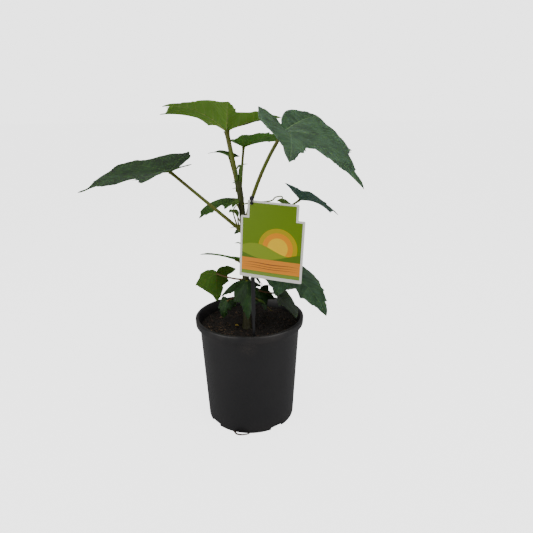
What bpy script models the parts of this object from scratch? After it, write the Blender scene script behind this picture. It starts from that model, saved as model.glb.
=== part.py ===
"""Young mountain papaya in a black nursery pot, with its plant label.

The origin is the middle of the pot's flat underside, +Z is up, and -Y is the front.
Sizes below are millimetres and degrees; MM turns them to Blender's metres.
A direction in plan is counted from +X towards +Y.
"""
import math

import bmesh
import bpy
from mathutils import Matrix, Vector
from mathutils.geometry import delaunay_2d_cdt

MM = 0.001
GAP = 0.3                  # clear space where two pieces meet

# ---- pot and soil ---------------------------------------------------------------
POT_HEIGHT = 171.0
RIM_RADIUS = 85.0          # outside of the rolled rim
RIM_DEPTH = 11.0           # height of the rim's band
WALL_TOP_RADIUS = 78.5     # outside of the wall under the rim
BASE_RADIUS = 69.5
WALL = 1.5
FLOOR = 2.0
POT_STEPS = 48             # segments round the pot

NOTCH_COUNT = 4            # drain notches where the wall meets the floor
NOTCH_START = 37.0
NOTCH_WIDTH = 22.0
NOTCH_HEIGHT = 5.0
NOTCH_DEPTH = 5.0

RIM_FLOOR = POT_HEIGHT - RIM_DEPTH
RIM_ROUND = 1.5            # the rim's outer top edge
RIM_DRAFT = 0.6            # the band is this much narrower at its lower edge
MOUTH_RADIUS = 80.0        # where the rim's flat top ends inside
MOUTH_STEP = 2.0           # the wall widens to the mouth in steps of this height
FOOT_ROUND = 3.0           # height of the rounded foot
FOOT_IN = 1.0

SOIL_TOP = 156.0
SOIL_CROWN = 2.0           # how far the soil swells between the stem and the wall
SOIL_SWELL = ((26.0, 0.0), (44.0, 1.0), (60.0, 0.8), (68.0, 0.0))   # radius, share of it
SOIL_CLEAR = 0.2           # extra room at the soil's upper edge

# ---- stem -----------------------------------------------------------------------
STEM_FOOT = (-4.0, -16.0)
STEM_TOP = 380.0
STEM_LEAN = 9.0           # how far the top bends to the left
STEM_BEND = 4              # the power by which it bends more and more
STEM_FOOT_RADIUS = 5.2
STEM_TOP_RADIUS = 3.7
FLARE = 1.8                # extra radius where the stem enters the soil
FLARE_FADE = 7.0

# ---- plant label ----------------------------------------------------------------
CARD_WIDTH = 88.0
CARD_HEIGHT = 106.0
CARD_SHOULDER = 9.0        # the card is narrower than its width above its shoulders
CARD_HEAD = 21.0
CARD_THICK = 0.8
CARD_HANG = (14.5, 102.0)  # the hole, from the card's lower left corner
CARD_PLACE = (8.5, -77.0, 361.0)
CARD_TURN = 18.0           # its right side comes forward
CARD_SAG = 3.0             # and hangs lower
HOLE_RADIUS = 2.4
HOLE_STEPS = 12

STRIP_Y = -74.0
STRIP_THICK = 1.2
STRIP_TOP = 370.0
STRIP_WIDE = 5.6
STRIP_FOOT_WIDE = 3.6
STRIP_STEP = 196.0         # the strip is slimmer below this height
STRIP_STEP_RISE = 6.0
HOOK_RADIUS = 1.2
HOOK_REACH = 3.0           # how far the hook comes out in front of the card
HOOK_RISE = 11.0

# ---- leaves ---------------------------------------------------------------------
# A blade has five lobes: one ahead, two mid lobes and two basal ones.
# Each form gives, from the right side round to the left, every lobe's angle from the main
# one and its share of that one's length; how far out each bay between two lobes lies, as
# a share of their mean length; and how broad the lobes are.
FORMS = {
    "open": dict(lobes=((-100, 0.62), (-51, 0.86), (0, 1.00), (51, 0.86), (100, 0.62)),
                 bays=(0.62, 0.62, 0.62, 0.62), breadth=1.30),
    "slim": dict(lobes=((-105, 0.55), (-46, 0.90), (0, 1.00), (46, 0.90), (105, 0.55)),
                 bays=(0.62, 0.62, 0.62, 0.62), breadth=1.25),
    "broad": dict(lobes=((-119, 0.37), (-48, 0.89), (0, 1.00), (49, 0.71), (101, 0.65)),
                  bays=(0.92, 0.59, 0.75, 0.92), breadth=1.10),
    "cupped": dict(lobes=((-100, 0.67), (-40, 0.93), (0, 1.00), (52, 0.62), (125, 0.76)),
                   bays=(0.92, 0.82, 0.69, 0.46), breadth=1.05),
    "long": dict(lobes=((-128, 0.57), (-53, 0.80), (0, 1.00), (64, 0.93), (111, 0.48)),
                 bays=(0.75, 0.92, 0.51, 0.46), breadth=1.30),
    "arched": dict(lobes=((-96, 0.56), (-52, 0.89), (0, 1.00), (51, 0.88), (92, 0.83)),
                   bays=(0.61, 0.89, 0.87, 0.57), breadth=1.05),
    "tiny": dict(lobes=((-122, 0.78), (-44, 0.87), (0, 1.00), (50, 0.82), (99, 0.62)),
                 bays=(0.59, 0.78, 0.71, 0.40), breadth=1.00),
    "narrow": dict(lobes=((-90, 0.38), (-40, 0.74), (0, 1.00), (39, 0.84), (90, 0.41)),
                   bays=(0.60, 0.62, 0.77, 0.50), breadth=1.65),
    "star": dict(lobes=((-119, 0.71), (-40, 0.99), (0, 1.00), (44, 0.97), (100, 0.63)),
                 bays=(0.44, 0.47, 0.88, 0.49), breadth=1.35),
    "stout": dict(lobes=((-95, 0.52), (-46, 0.85), (0, 1.00), (48, 0.81), (97, 0.63)),
                  bays=(0.73, 0.69, 0.61, 0.68), breadth=1.60),
    "drooping": dict(lobes=((-108, 0.61), (-55, 0.67), (0, 1.00), (54, 0.59), (102, 0.66)),
                     bays=(0.74, 0.61, 0.77, 0.86), breadth=1.70),
    "round": dict(lobes=((-92, 0.76), (-50, 0.61), (0, 1.00), (62, 0.81), (91, 0.54)),
                  bays=(0.67, 0.66, 0.78, 0.89), breadth=1.50),
    "folded": dict(lobes=((-87, 0.41), (-54, 0.78), (0, 1.00), (49, 0.97), (95, 0.44)),
                   bays=(0.91, 0.68, 0.91, 0.92), breadth=1.55),
    "tongue": dict(lobes=((-91, 0.81), (-41, 0.63), (0, 1.00), (44, 0.56), (109, 0.54)),
                   bays=(0.57, 0.73, 0.50, 0.50), breadth=1.30),
    "oak": dict(lobes=((-105, 0.76), (-52, 0.81), (0, 1.00), (43, 0.51), (100, 0.85)),
                bays=(0.55, 0.63, 0.47, 0.63), breadth=1.55),
}

# node: height on the stem; bearing, rise, stalk: the stalk's direction and length;
# bow: how far its middle is lifted, as a share of its length.
# heading, dip, roll: the way the main lobe points; length: of the main lobe.
# cup: how steeply the lobes rise from the joint, and wing: more of it at the sides;
# droop: how far they bend down again, and side_droop: more of it at the sides;
# fold: how steeply the lobes' margins rise from their veins.
LEAVES = {
    "top_left": dict(node=371, bearing=124, rise=68, stalk=84, bow=0.0, thick=3.7,
                     heading=219, dip=-17, roll=11, length=110, form="cupped",
                     cup=27, wing=5, droop=51, side_droop=-15, fold=17),
    "top_right": dict(node=318, bearing=-35, rise=62, stalk=150, bow=0.05,
                      heading=-41, dip=36, roll=-5, length=142, form="broad",
                      cup=28, droop=40, side_droop=12, fold=4),
    "left": dict(node=308, bearing=171, rise=38, stalk=138, bow=0.0,
                 heading=201, dip=11, roll=-3, length=132, form="long",
                 cup=11, wing=7, droop=20, fold=-1),
    "top_back": dict(node=364, bearing=83, rise=56, stalk=74, bow=0.02,
                     heading=8, dip=-1, roll=-7, length=91, form="arched",
                     cup=21, wing=3, droop=45, side_droop=-16, fold=11),
    "top_small": dict(node=356, bearing=111, rise=46, stalk=76, bow=0.0,
                      heading=177, dip=-21, roll=-1, length=34, form="tiny",
                      cup=16, wing=14, droop=57, side_droop=-16, fold=2),
    "middle_left": dict(node=330, bearing=109, rise=20, stalk=48, bow=0.05,
                        heading=152, dip=4, roll=-5, length=76, form="narrow",
                        cup=12, wing=-13, droop=63, side_droop=1, fold=2),
    "middle_right": dict(node=300, bearing=13, rise=30, stalk=99, bow=0.0,
                         heading=-22, dip=19, roll=-22, length=64, form="star",
                         cup=23, wing=8, droop=44, side_droop=5, fold=8),
    "low_back_left": dict(node=250, bearing=115, rise=4, stalk=39, bow=0.05,
                          heading=207, dip=-30, roll=11, length=63, form="stout",
                          cup=-3, wing=13, droop=21, side_droop=4, fold=6),
    "right": dict(node=246, bearing=0, rise=1, stalk=59, bow=0.05,
                  heading=-45, dip=19, roll=-4, length=100, form="drooping",
                  cup=12, wing=-7, droop=49, side_droop=1, fold=4),
    "low_left": dict(node=232, bearing=151, rise=2, stalk=54, bow=-0.04,
                     heading=135, dip=87, roll=21, length=47, form="round",
                     cup=6, wing=12, droop=20, fold=0),
    "low_right": dict(node=222, bearing=7, rise=-16, stalk=51, bow=-0.06,
                      heading=-72, dip=63, roll=-47, length=50, form="folded",
                      cup=29, wing=-2, droop=-2, side_droop=40, fold=3),
    "low_front": dict(node=207, bearing=-83, rise=59, stalk=35, bow=0.08,
                      heading=-82, dip=18, roll=-4, length=59, form="tongue",
                      cup=-14, wing=-6, droop=55, side_droop=-8, fold=-6),
    "low_front_left": dict(node=189, bearing=-140, rise=27, stalk=41, bow=0.25,
                           heading=239, dip=51, roll=-24, length=32, form="oak",
                           cup=-10, wing=-11, droop=67, side_droop=30, fold=7),
    "low_front_right": dict(node=194, bearing=30, rise=35, stalk=30, bow=0.08,
                            heading=-50, dip=62, roll=10, length=32, form="slim",
                            cup=5, droop=20, fold=4),
    "inner_right": dict(node=226, bearing=58, rise=13, stalk=24, bow=0.05,
                        heading=5, dip=50, roll=0, length=22, form="slim",
                        cup=5, droop=15, fold=4),
    "back": dict(node=284, bearing=72, rise=12, stalk=62, bow=0.05,
                 heading=80, dip=20, roll=0, length=72, form="open",
                 cup=12, droop=40, fold=5),
    "back_right": dict(node=262, bearing=48, rise=14, stalk=62, bow=0.05,
                       heading=40, dip=30, roll=0, length=52, form="open",
                       cup=10, droop=35, fold=5),
}
SHOOT = dict(node=311, bearing=216, rise=60, stalk=34, bow=0.05, thick=1.0,
             heading=-10, dip=-55, roll=0, length=13, form="slim", cup=10, droop=20)

# One side of a lobe, from its bay to its tip: share along it, and half width as a share.
# The two steps are the small side points that a grown lobe carries.
LOBE_SIDE = ((0.50, 0.185), (0.62, 0.170), (0.64, 0.140), (0.78, 0.105), (0.80, 0.080),
             (0.90, 0.052), (0.965, 0.022))
SMALL_LOBE_SIDE = ((0.56, 0.175), (0.78, 0.100), (0.93, 0.042))
SMALL_LEAF = 50.0          # leaves shorter than this have plain lobes
BASE_NOTCH = 0.07          # the cleft where the stalk meets the blade
EAR = ((0.34, 0.50), (0.55, 0.36), (0.80, 0.20))   # round end beside that cleft
LOBE_ROOM = 0.94           # a lobe fills at most this share of the angle to its bay
OUTER_ROOM = 80.0          # and this angle on the side of the cleft
BAY_CLEAR = 1.03           # its side starts this much further out than the bay
VEIN_STEPS = (0.22, 0.40, 0.56, 0.72, 0.87)   # corners along a lobe's vein, as shares of it
BAY_STEPS = (0.40, 0.72)   # and along the fold towards each bay
LEAF_THICK = 0.014         # share of the main lobe's length
THINNEST_LEAF = 0.8

STALK_POINTS = 7
BUD_CLEAR_TILT = 22.0      # the stem's top face leans by less than this
BUDS = (dict(lean=3.0, bearing=-20, length=23.0, thick=2.0),
        dict(lean=6.0, bearing=-110, length=17.0, thick=1.4))


def material(name, colour, roughness, metallic=0.0):
    """A plain Principled material; the colour is linear."""
    made = bpy.data.materials.new(name)
    made.use_nodes = True
    shader = made.node_tree.nodes["Principled BSDF"]
    shader.inputs["Base Color"].default_value = (*colour, 1.0)
    shader.inputs["Roughness"].default_value = roughness
    shader.inputs["Metallic"].default_value = metallic
    return made


def add_object(name, data, collection, finish):
    made = bpy.data.objects.new(name, data)
    if finish:
        made.data.materials.append(finish)
    collection.objects.link(made)
    return made


def mesh_object(name, shape, collection, finish):
    mesh = bpy.data.meshes.new(name)
    shape.to_mesh(mesh)
    shape.free()
    return add_object(name, mesh, collection, finish)


def turned(name, profile, collection, finish):
    """A profile of (radius, height) turned round Z; its outer side runs from top to bottom."""
    shape = bmesh.new()
    points = [shape.verts.new((radius * MM, 0.0, height * MM)) for radius, height in profile]
    for first, second in zip(points, points[1:]):
        shape.edges.new((first, second))
    made = mesh_object(name, shape, collection, finish)
    screw = made.modifiers.new("turn", "SCREW")
    screw.steps = POT_STEPS
    screw.render_steps = POT_STEPS
    screw.use_merge_vertices = True
    screw.merge_threshold = 0.00001
    return made


def rod(name, points, radii, sides, collection, finish):
    """A tube through the points; sides is 6, 8, 10 or 12."""
    curve = bpy.data.curves.new(name, "CURVE")
    curve.dimensions = "3D"
    curve.bevel_depth = max(radii) * MM
    curve.bevel_resolution = (sides - 4) // 2
    curve.use_fill_caps = True
    spline = curve.splines.new("POLY")
    spline.points.add(len(points) - 1)
    for place, point, radius in zip(spline.points, points, radii):
        place.co = (*point, 1.0)
        place.radius = radius / max(radii)
    return add_object(name, curve, collection, finish)


def direction(bearing, rise):
    """The unit vector that points along a bearing in plan and rises above the level."""
    bearing, rise = math.radians(bearing), math.radians(rise)
    return Vector((math.cos(rise) * math.cos(bearing),
                   math.cos(rise) * math.sin(bearing),
                   math.sin(rise)))


# ---- stem -----------------------------------------------------------------------
def stem_point(height):
    share = (height - SOIL_TOP) / (STEM_TOP - SOIL_TOP)
    return Vector((STEM_FOOT[0] - STEM_LEAN * share ** STEM_BEND,
                   STEM_FOOT[1] * (1.0 - share),
                   height)) * MM


def stem_radius(height):
    share = (height - SOIL_TOP) / (STEM_TOP - SOIL_TOP)
    plain = STEM_FOOT_RADIUS + (STEM_TOP_RADIUS - STEM_FOOT_RADIUS) * share
    return plain + FLARE * math.exp(-(height - SOIL_TOP) / FLARE_FADE)


def make_stem(collection, finish):
    """The stem from its flat cut on the soil to the bud; two points set its upright foot."""
    heights = [SOIL_TOP + GAP, 159.0, 163.0, 170.0]
    heights += [185.0 + 15.0 * step for step in range(13)]
    heights.append(STEM_TOP)
    points = [stem_point(height) for height in heights]
    points[1].xy = points[0].xy
    return rod("stem", points, [stem_radius(height) for height in heights], 12,
               collection, finish)


def make_buds(collection, finish):
    """Young leaves that are still folded, standing on the stem's top."""
    for number, bud in enumerate(BUDS, 1):
        side = direction(bud["bearing"], 0.0) * (bud["thick"] + GAP) * MM
        tilt = STEM_TOP_RADIUS * math.sin(math.radians(BUD_CLEAR_TILT))
        foot = stem_point(STEM_TOP) + side + Vector((0.0, 0.0, (GAP + tilt) * MM))
        axis = direction(bud["bearing"], 90.0 - bud["lean"]) * bud["length"] * MM
        shares = (0.0, 0.2, 0.45, 0.7, 0.9, 1.0)
        widths = (0.75, 1.0, 0.95, 0.7, 0.35, 0.08)
        rod("bud_leaf_%d" % number, [foot + axis * share for share in shares],
            [bud["thick"] * width for width in widths], 8, collection, finish)


# ---- leaves ---------------------------------------------------------------------
def blade_axes(leaf):
    """The blade's own axes: along the main lobe, to its left, and up from its face."""
    ahead = direction(leaf["heading"], -leaf["dip"])
    left = direction(leaf["heading"] + 90.0, 0.0)
    left = Matrix.Rotation(math.radians(leaf["roll"]), 3, ahead) @ left
    return ahead, left, ahead.cross(left)


def joint(leaf):
    """Where the stalk meets the blade."""
    chord = direction(leaf["bearing"], leaf["rise"]) * leaf["stalk"] * MM
    return stem_point(leaf["node"]) + chord


def blade_thickness(leaf):
    return max(THINNEST_LEAF, LEAF_THICK * leaf["length"])


def polar(angle, share):
    return share * math.cos(math.radians(angle)), share * math.sin(math.radians(angle))


def ear(lobe):
    """The round end between a basal lobe and the cleft."""
    angle, share = lobe
    gap = math.copysign(180.0, angle) - angle
    return [polar(angle + gap * turn, share * out) for turn, out in EAR]


def bay_after(form, number):
    """The bay between a lobe and the next one: its angle, and its share of the length."""
    (angle, share), (next_angle, next_share) = form["lobes"][number:number + 2]
    return (angle + next_angle) / 2.0, form["bays"][number] * (share + next_share) / 2.0


def lobe_side(leaf, number, side):
    """One side of a lobe, from beside its bay to near its tip; side is 1 to the left."""
    form = FORMS[leaf["form"]]
    angle, share = form["lobes"][number]
    grown = leaf["length"] >= SMALL_LEAF
    profile = LOBE_SIDE if grown else SMALL_LOBE_SIDE
    bay_number = number if side > 0 else number - 1
    if 0 <= bay_number < len(form["bays"]):
        bay_angle, bay = bay_after(form, bay_number)
        room = LOBE_ROOM * abs(bay_angle - angle)
    else:
        bay, room = 0.0, OUTER_ROOM
        profile = profile[2:] if grown else profile
    points = []
    for along, across in profile:
        reach = math.hypot(along, across * form["breadth"]) * share
        beside = math.degrees(math.atan2(across * form["breadth"], along))
        if reach > bay * BAY_CLEAR:
            points.append(polar(angle + side * min(room, beside), reach))
    return points


def outline(leaf):
    """The blade's edge, as shares of its length (ahead, left), once round from its cleft."""
    form = FORMS[leaf["form"]]
    points = [(-BASE_NOTCH, 0.0)]
    points += reversed(ear(form["lobes"][0]))
    for number, lobe in enumerate(form["lobes"]):
        points += lobe_side(leaf, number, -1)
        points.append(polar(*lobe))
        points += reversed(lobe_side(leaf, number, 1))
        if number < len(form["bays"]):
            points.append(polar(*bay_after(form, number)))
    points += ear(form["lobes"][-1])
    return points


def bent(leaf, ahead, left):
    """A flat point of the blade, in shares of its length, bent to the blade's arched form."""
    reach = math.hypot(ahead, left)
    if reach == 0.0:
        return Vector((0.0, 0.0, 0.0))
    angle = math.atan2(left, ahead)
    sideways = math.sin(angle) ** 2
    climb = math.radians(leaf.get("cup", 0) + leaf.get("wing", 0) * sideways)
    droop = math.radians(leaf["droop"] + leaf.get("side_droop", 0) * sideways)
    if abs(droop) < 0.001:
        droop = 0.001
    out = (math.sin(climb) - math.sin(climb - droop * reach)) / droop
    up = (math.cos(climb - droop * reach) - math.cos(climb)) / droop
    from_vein = min(abs(angle - math.radians(lobe)) for lobe, _ in FORMS[leaf["form"]]["lobes"])
    fold = math.radians(leaf.get("fold", 0))
    up += math.sin(fold) * reach * math.sin(min(from_vein, math.radians(60.0)))
    return Vector((out * math.cos(angle), out * math.sin(angle), up))


def flat_blade(leaf):
    """The flat blade as corners and triangles, parted along its veins and the folds between."""
    corners = outline(leaf)
    edges = [(number, (number + 1) % len(corners)) for number in range(len(corners))]
    form = FORMS[leaf["form"]]
    lines = [(angle, share, VEIN_STEPS) for angle, share in form["lobes"]]
    for number in range(len(form["bays"])):
        lines.append((*bay_after(form, number), BAY_STEPS))
    middle = len(corners)
    corners.append((0.0, 0.0))
    for angle, share, steps in lines:
        last = middle
        for step in steps:
            edges.append((last, len(corners)))
            last = len(corners)
            corners.append(polar(angle, share * step))
    inside_only = 1
    found = delaunay_2d_cdt([Vector(corner) for corner in corners], edges, [], inside_only,
                            0.00001)
    return found[0], found[2]


def make_blade(name, leaf, collection, finish):
    """A thin shell over the blade's triangles, bent to its arched and folded form."""
    axes = Matrix(blade_axes(leaf)).transposed()
    size = leaf["length"] * MM
    centre = joint(leaf)
    corners, faces = flat_blade(leaf)
    shape = bmesh.new()
    placed = [shape.verts.new(centre + axes @ bent(leaf, *corner) * size) for corner in corners]
    for face in faces:
        shape.faces.new([placed[number] for number in face])
    made = mesh_object(name, shape, collection, finish)
    shell = made.modifiers.new("thickness", "SOLIDIFY")
    shell.thickness = blade_thickness(leaf) * MM
    shell.offset = 0.0
    shell.use_even_offset = False


def make_stalk(name, leaf, collection, finish):
    """A tapering stalk from the stem's side to just under the blade's joint."""
    thick = leaf.get("thick", 0.7 + leaf["length"] / 68.0)
    slim = 0.85 * thick
    chord = direction(leaf["bearing"], leaf["rise"])
    outward = direction(leaf["bearing"], 0.0)
    leave = stem_radius(leaf["node"]) + GAP + thick * math.sin(math.radians(abs(leaf["rise"])))
    start = stem_point(leaf["node"]) + outward * (leave + 0.2) * MM
    up = blade_axes(leaf)[2]
    slope = math.sqrt(max(0.0, 1.0 - chord.dot(up) ** 2))
    short = blade_thickness(leaf) / 2.0 + GAP + 0.2 + thick * slope
    lowest = leaf.get("cup", 0) + min(0, leaf.get("wing", 0))
    if lowest < 0:
        short += thick * math.tan(math.radians(-lowest)) + 0.5
    end = joint(leaf) - up * short * MM
    lift = direction(leaf["bearing"], leaf["rise"] + 90.0) * leaf["bow"] * leaf["stalk"] * MM
    control = (start + end) / 2.0 + lift * 2.0
    points, radii = [], []
    for step in range(STALK_POINTS):
        share = step / (STALK_POINTS - 1)
        points.append(start * (1 - share) ** 2 + control * 2 * share * (1 - share)
                      + end * share ** 2)
        radii.append(thick + (slim - thick) * share)
    return rod(name, points, radii, 6, collection, finish)


# ---- plant label ----------------------------------------------------------------
def flat_piece(name, outlines, thickness, collection, finish):
    """A sheet cut to the first outline; the others are holes in it."""
    curve = bpy.data.curves.new(name, "CURVE")
    curve.dimensions = "2D"
    curve.fill_mode = "BOTH"
    curve.extrude = thickness / 2.0 * MM
    for corners in outlines:
        spline = curve.splines.new("POLY")
        spline.points.add(len(corners) - 1)
        spline.use_cyclic_u = True
        for place, (across, up) in zip(spline.points, corners):
            place.co = (across * MM, up * MM, 0.0, 1.0)
    return add_object(name, curve, collection, finish)


def make_card(collection, finish):
    """The die-cut card, with the hook's hole cut through; its origin is that hole."""
    right, top = CARD_WIDTH, CARD_HEIGHT
    head = CARD_HEIGHT - CARD_HEAD
    corners = ((0, 0), (right, 0), (right, head), (right - CARD_SHOULDER, head),
               (right - CARD_SHOULDER, top), (CARD_SHOULDER, top), (CARD_SHOULDER, head),
               (0, head))
    card_edge = [(across - CARD_HANG[0], up - CARD_HANG[1]) for across, up in corners]
    turns = [2.0 * math.pi * number / HOLE_STEPS for number in range(HOLE_STEPS)]
    hole = [(HOLE_RADIUS * math.cos(turn), HOLE_RADIUS * math.sin(turn)) for turn in turns]
    card = flat_piece("label_card", (card_edge, hole), CARD_THICK, collection, finish)
    card.location = Vector(CARD_PLACE) * MM
    stand = Matrix.Rotation(math.radians(90.0), 4, "X")
    sag = Matrix.Rotation(math.radians(-CARD_SAG), 4, "Z")
    turn = Matrix.Rotation(math.radians(-CARD_TURN), 4, "Z")
    card.rotation_euler = (turn @ stand @ sag).to_euler()


def make_strip(collection, finish):
    """The flat strip that stands in the soil."""
    half, foot = STRIP_WIDE / 2.0, STRIP_FOOT_WIDE / 2.0
    side = [(foot, SOIL_TOP + GAP), (foot, STRIP_STEP), (half, STRIP_STEP + STRIP_STEP_RISE),
            (half, STRIP_TOP)]
    corners = side + [(-across, up) for across, up in reversed(side)]
    strip = flat_piece("label_strip", (corners,), STRIP_THICK, collection, finish)
    strip.location = (CARD_PLACE[0] * MM, STRIP_Y * MM, 0.0)
    strip.rotation_euler = (math.radians(90.0), 0.0, 0.0)


def make_hook(collection, finish):
    """The hook on the strip: out through the card's hole, then up in front of the card."""
    front = STRIP_Y - STRIP_THICK / 2.0 - GAP
    reach = CARD_PLACE[1] - HOOK_REACH
    route = ((front, 0.0), (reach + 1.5 * HOOK_RADIUS, 0.0), (reach, 1.5 * HOOK_RADIUS),
             (reach, HOOK_RISE))
    points = [Vector((CARD_PLACE[0], y, CARD_PLACE[2] + up)) * MM for y, up in route]
    rod("label_hook", points, [HOOK_RADIUS] * len(points), 8, collection, finish)


# ---- pot and soil ---------------------------------------------------------------
def wall_radius(height):
    """Outside of the pot's wall at a height."""
    share = height / RIM_FLOOR
    return BASE_RADIUS + (WALL_TOP_RADIUS - BASE_RADIUS) * share


def make_pot(collection, cutters, finish):
    """A thin tapering wall on a flat floor, with a rolled rim and drain notches at its foot."""
    profile = [(0.0, FLOOR), (wall_radius(FLOOR) - WALL, FLOOR),
               (WALL_TOP_RADIUS - WALL, RIM_FLOOR - 2.0 * MOUTH_STEP),
               (MOUTH_RADIUS - MOUTH_STEP, RIM_FLOOR + MOUTH_STEP),
               (MOUTH_RADIUS - MOUTH_STEP / 2.0, POT_HEIGHT - MOUTH_STEP / 2.0),
               (MOUTH_RADIUS, POT_HEIGHT), (RIM_RADIUS - RIM_ROUND, POT_HEIGHT),
               (RIM_RADIUS, POT_HEIGHT - RIM_ROUND), (RIM_RADIUS - RIM_DRAFT, RIM_FLOOR),
               (WALL_TOP_RADIUS, RIM_FLOOR - RIM_DRAFT), (wall_radius(FOOT_ROUND), FOOT_ROUND),
               (BASE_RADIUS - FOOT_IN, 0.0), (0.0, 0.0)]
    pot = turned("pot", profile, collection, finish)
    for number in range(NOTCH_COUNT):
        bpy.ops.mesh.primitive_cube_add(size=1.0)
        cutter = bpy.context.active_object
        cutter.name = "notch_cutter_%d" % (number + 1)
        bearing = NOTCH_START + number * 360.0 / NOTCH_COUNT
        cutter.dimensions = (2.0 * NOTCH_DEPTH * MM, NOTCH_WIDTH * MM, 2.0 * NOTCH_HEIGHT * MM)
        cutter.location = direction(bearing, 0.0) * BASE_RADIUS * MM
        cutter.rotation_euler = (0.0, 0.0, math.radians(bearing))
        cutter.hide_render = True
        cutter.display_type = "WIRE"
        for home in list(cutter.users_collection):
            home.objects.unlink(cutter)
        cutters.objects.link(cutter)
        cut = pot.modifiers.new("notch_%d" % (number + 1), "BOOLEAN")
        cut.operation = "DIFFERENCE"
        cut.object = cutter


def make_soil(collection, finish):
    """The potting mix, a turned solid that fills the pot to a little below its rim."""
    low = FLOOR + GAP
    inside = WALL + GAP
    swell = [(radius, SOIL_TOP + SOIL_CROWN * share) for radius, share in SOIL_SWELL]
    profile = [(0.0, SOIL_TOP)] + swell + [
        (wall_radius(SOIL_TOP) - inside - SOIL_CLEAR, SOIL_TOP),
        (wall_radius(low) - inside, low), (0.0, low)]
    return turned("soil", profile, collection, finish)


def main():
    for old in list(bpy.data.objects):
        bpy.data.objects.remove(old, do_unlink=True)
    plant = bpy.data.collections.new("potted_papaya")
    cutters = bpy.data.collections.new("cutters")
    for collection in (plant, cutters):
        bpy.context.scene.collection.children.link(collection)

    plastic = material("black_pot_plastic", (0.016, 0.016, 0.018), 0.45)
    earth = material("potting_mix", (0.010, 0.008, 0.006), 0.95)
    bark = material("green_stem", (0.075, 0.085, 0.030), 0.60)
    leaf_green = material("leaf", (0.030, 0.075, 0.022), 0.45)
    stalk_green = material("leaf_stalk", (0.110, 0.115, 0.030), 0.50)
    card = material("printed_card", (0.130, 0.215, 0.015), 0.40)

    make_pot(plant, cutters, plastic)
    make_soil(plant, earth)
    make_stem(plant, bark)
    make_buds(plant, leaf_green)
    for place, leaf in LEAVES.items():
        make_stalk("stalk_" + place, leaf, plant, stalk_green)
        make_blade("blade_" + place, leaf, plant, leaf_green)
    make_stalk("stalk_shoot", SHOOT, plant, stalk_green)
    make_blade("blade_shoot", SHOOT, plant, leaf_green)
    make_card(plant, card)
    make_strip(plant, plastic)
    make_hook(plant, plastic)


main()
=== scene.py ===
"""Looks of a young mountain papaya in a black nursery pot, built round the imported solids.

Sizes are millimetres and degrees; MM turns them to Blender's metres. +Z is up, -Y the front.
A direction in plan is counted from +X towards +Y.
"""
import math

import bmesh
import bpy
import numpy as np
from mathutils import Matrix, Vector, noise


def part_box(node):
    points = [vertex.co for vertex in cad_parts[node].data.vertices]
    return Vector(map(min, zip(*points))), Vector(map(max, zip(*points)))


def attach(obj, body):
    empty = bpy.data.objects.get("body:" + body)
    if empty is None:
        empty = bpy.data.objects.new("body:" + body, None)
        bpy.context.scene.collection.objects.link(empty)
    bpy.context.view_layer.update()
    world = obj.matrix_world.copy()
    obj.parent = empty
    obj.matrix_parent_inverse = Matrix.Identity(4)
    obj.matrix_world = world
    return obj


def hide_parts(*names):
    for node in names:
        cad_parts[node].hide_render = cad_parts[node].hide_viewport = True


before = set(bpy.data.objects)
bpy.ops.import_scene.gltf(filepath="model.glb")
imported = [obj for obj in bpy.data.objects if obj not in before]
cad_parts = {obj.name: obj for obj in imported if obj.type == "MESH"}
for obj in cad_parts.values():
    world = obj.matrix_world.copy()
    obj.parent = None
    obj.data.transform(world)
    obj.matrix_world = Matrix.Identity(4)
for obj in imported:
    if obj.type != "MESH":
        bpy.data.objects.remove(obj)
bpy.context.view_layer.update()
MM = 0.001

# ---- camera ---------------------------------------------------------------------
# One camera at the height of the plant's top leaves, a little over arm's length in
# front, looking slightly down on the pot.
CAMERA_PLACE = (27.3, -700.0, 470.0)
CAMERA_DIP = 17.47
CAMERA_ROLL = -0.47
SENSOR = 36.0
LENS = 32.35

lens = bpy.data.cameras.new("camera")
lens.sensor_width = SENSOR
lens.lens = LENS
lens.clip_start = 0.01
camera = bpy.data.objects.new("camera", lens)
camera.location = Vector(CAMERA_PLACE) * MM
camera.rotation_mode = "ZYX"
camera.rotation_euler = (math.radians(90.0 - CAMERA_DIP), 0.0, math.radians(CAMERA_ROLL))
bpy.context.scene.collection.objects.link(camera)
bpy.context.scene.camera = camera


# ---- light and floor ------------------------------------------------------------
# A white studio: an even sky of light, a large softbox overhead and two at the sides,
# over a pale matt board that is much larger than the pot.
def linear(code):
    """An sRGB hex colour as the linear colour that a shader takes."""
    parts = [int(code[place:place + 2], 16) / 255.0 for place in (0, 2, 4)]
    return (*[part / 12.92 if part <= 0.04045 else ((part + 0.055) / 1.055) ** 2.4
              for part in parts], 1.0)


def add(tree, kind, feeds=None, **settings):
    """Adds a node: settings are its properties, and feeds the values or links of its sockets."""
    node = tree.nodes.new("ShaderNode" + kind)
    for name, value in settings.items():
        setattr(node, name, value)
    for socket, value in (feeds or {}).items():
        if isinstance(value, bpy.types.NodeSocket):
            tree.links.new(value, node.inputs[socket])
        else:
            node.inputs[socket].default_value = value
    return node


def finish(name, **sockets):
    """A material with a Principled shader; sockets are its own constant values."""
    made = bpy.data.materials.new(name)
    made.use_nodes = True
    tree = made.node_tree
    shader = tree.nodes["Principled BSDF"]
    for socket, value in sockets.items():
        shader.inputs[socket.replace("_", " ")].default_value = value
    return made, tree, shader


WORLD_LIGHT = 0.28
BACKDROP_GLOW = 3.0                 # the backdrop is lit from behind, brighter than the set
BOARD_GLOW = 2.77
SOFTBOXES = (                       # name, place, size, watts
    ("softbox_top", (0.0, -250.0, 1500.0), 1600.0, 16.0),
    ("softbox_left", (-1200.0, -900.0, 500.0), 1000.0, 9.0),
    ("softbox_right", (1200.0, -900.0, 500.0), 1000.0, 9.0),
)
FLOOR_HALF = 40000.0

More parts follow.
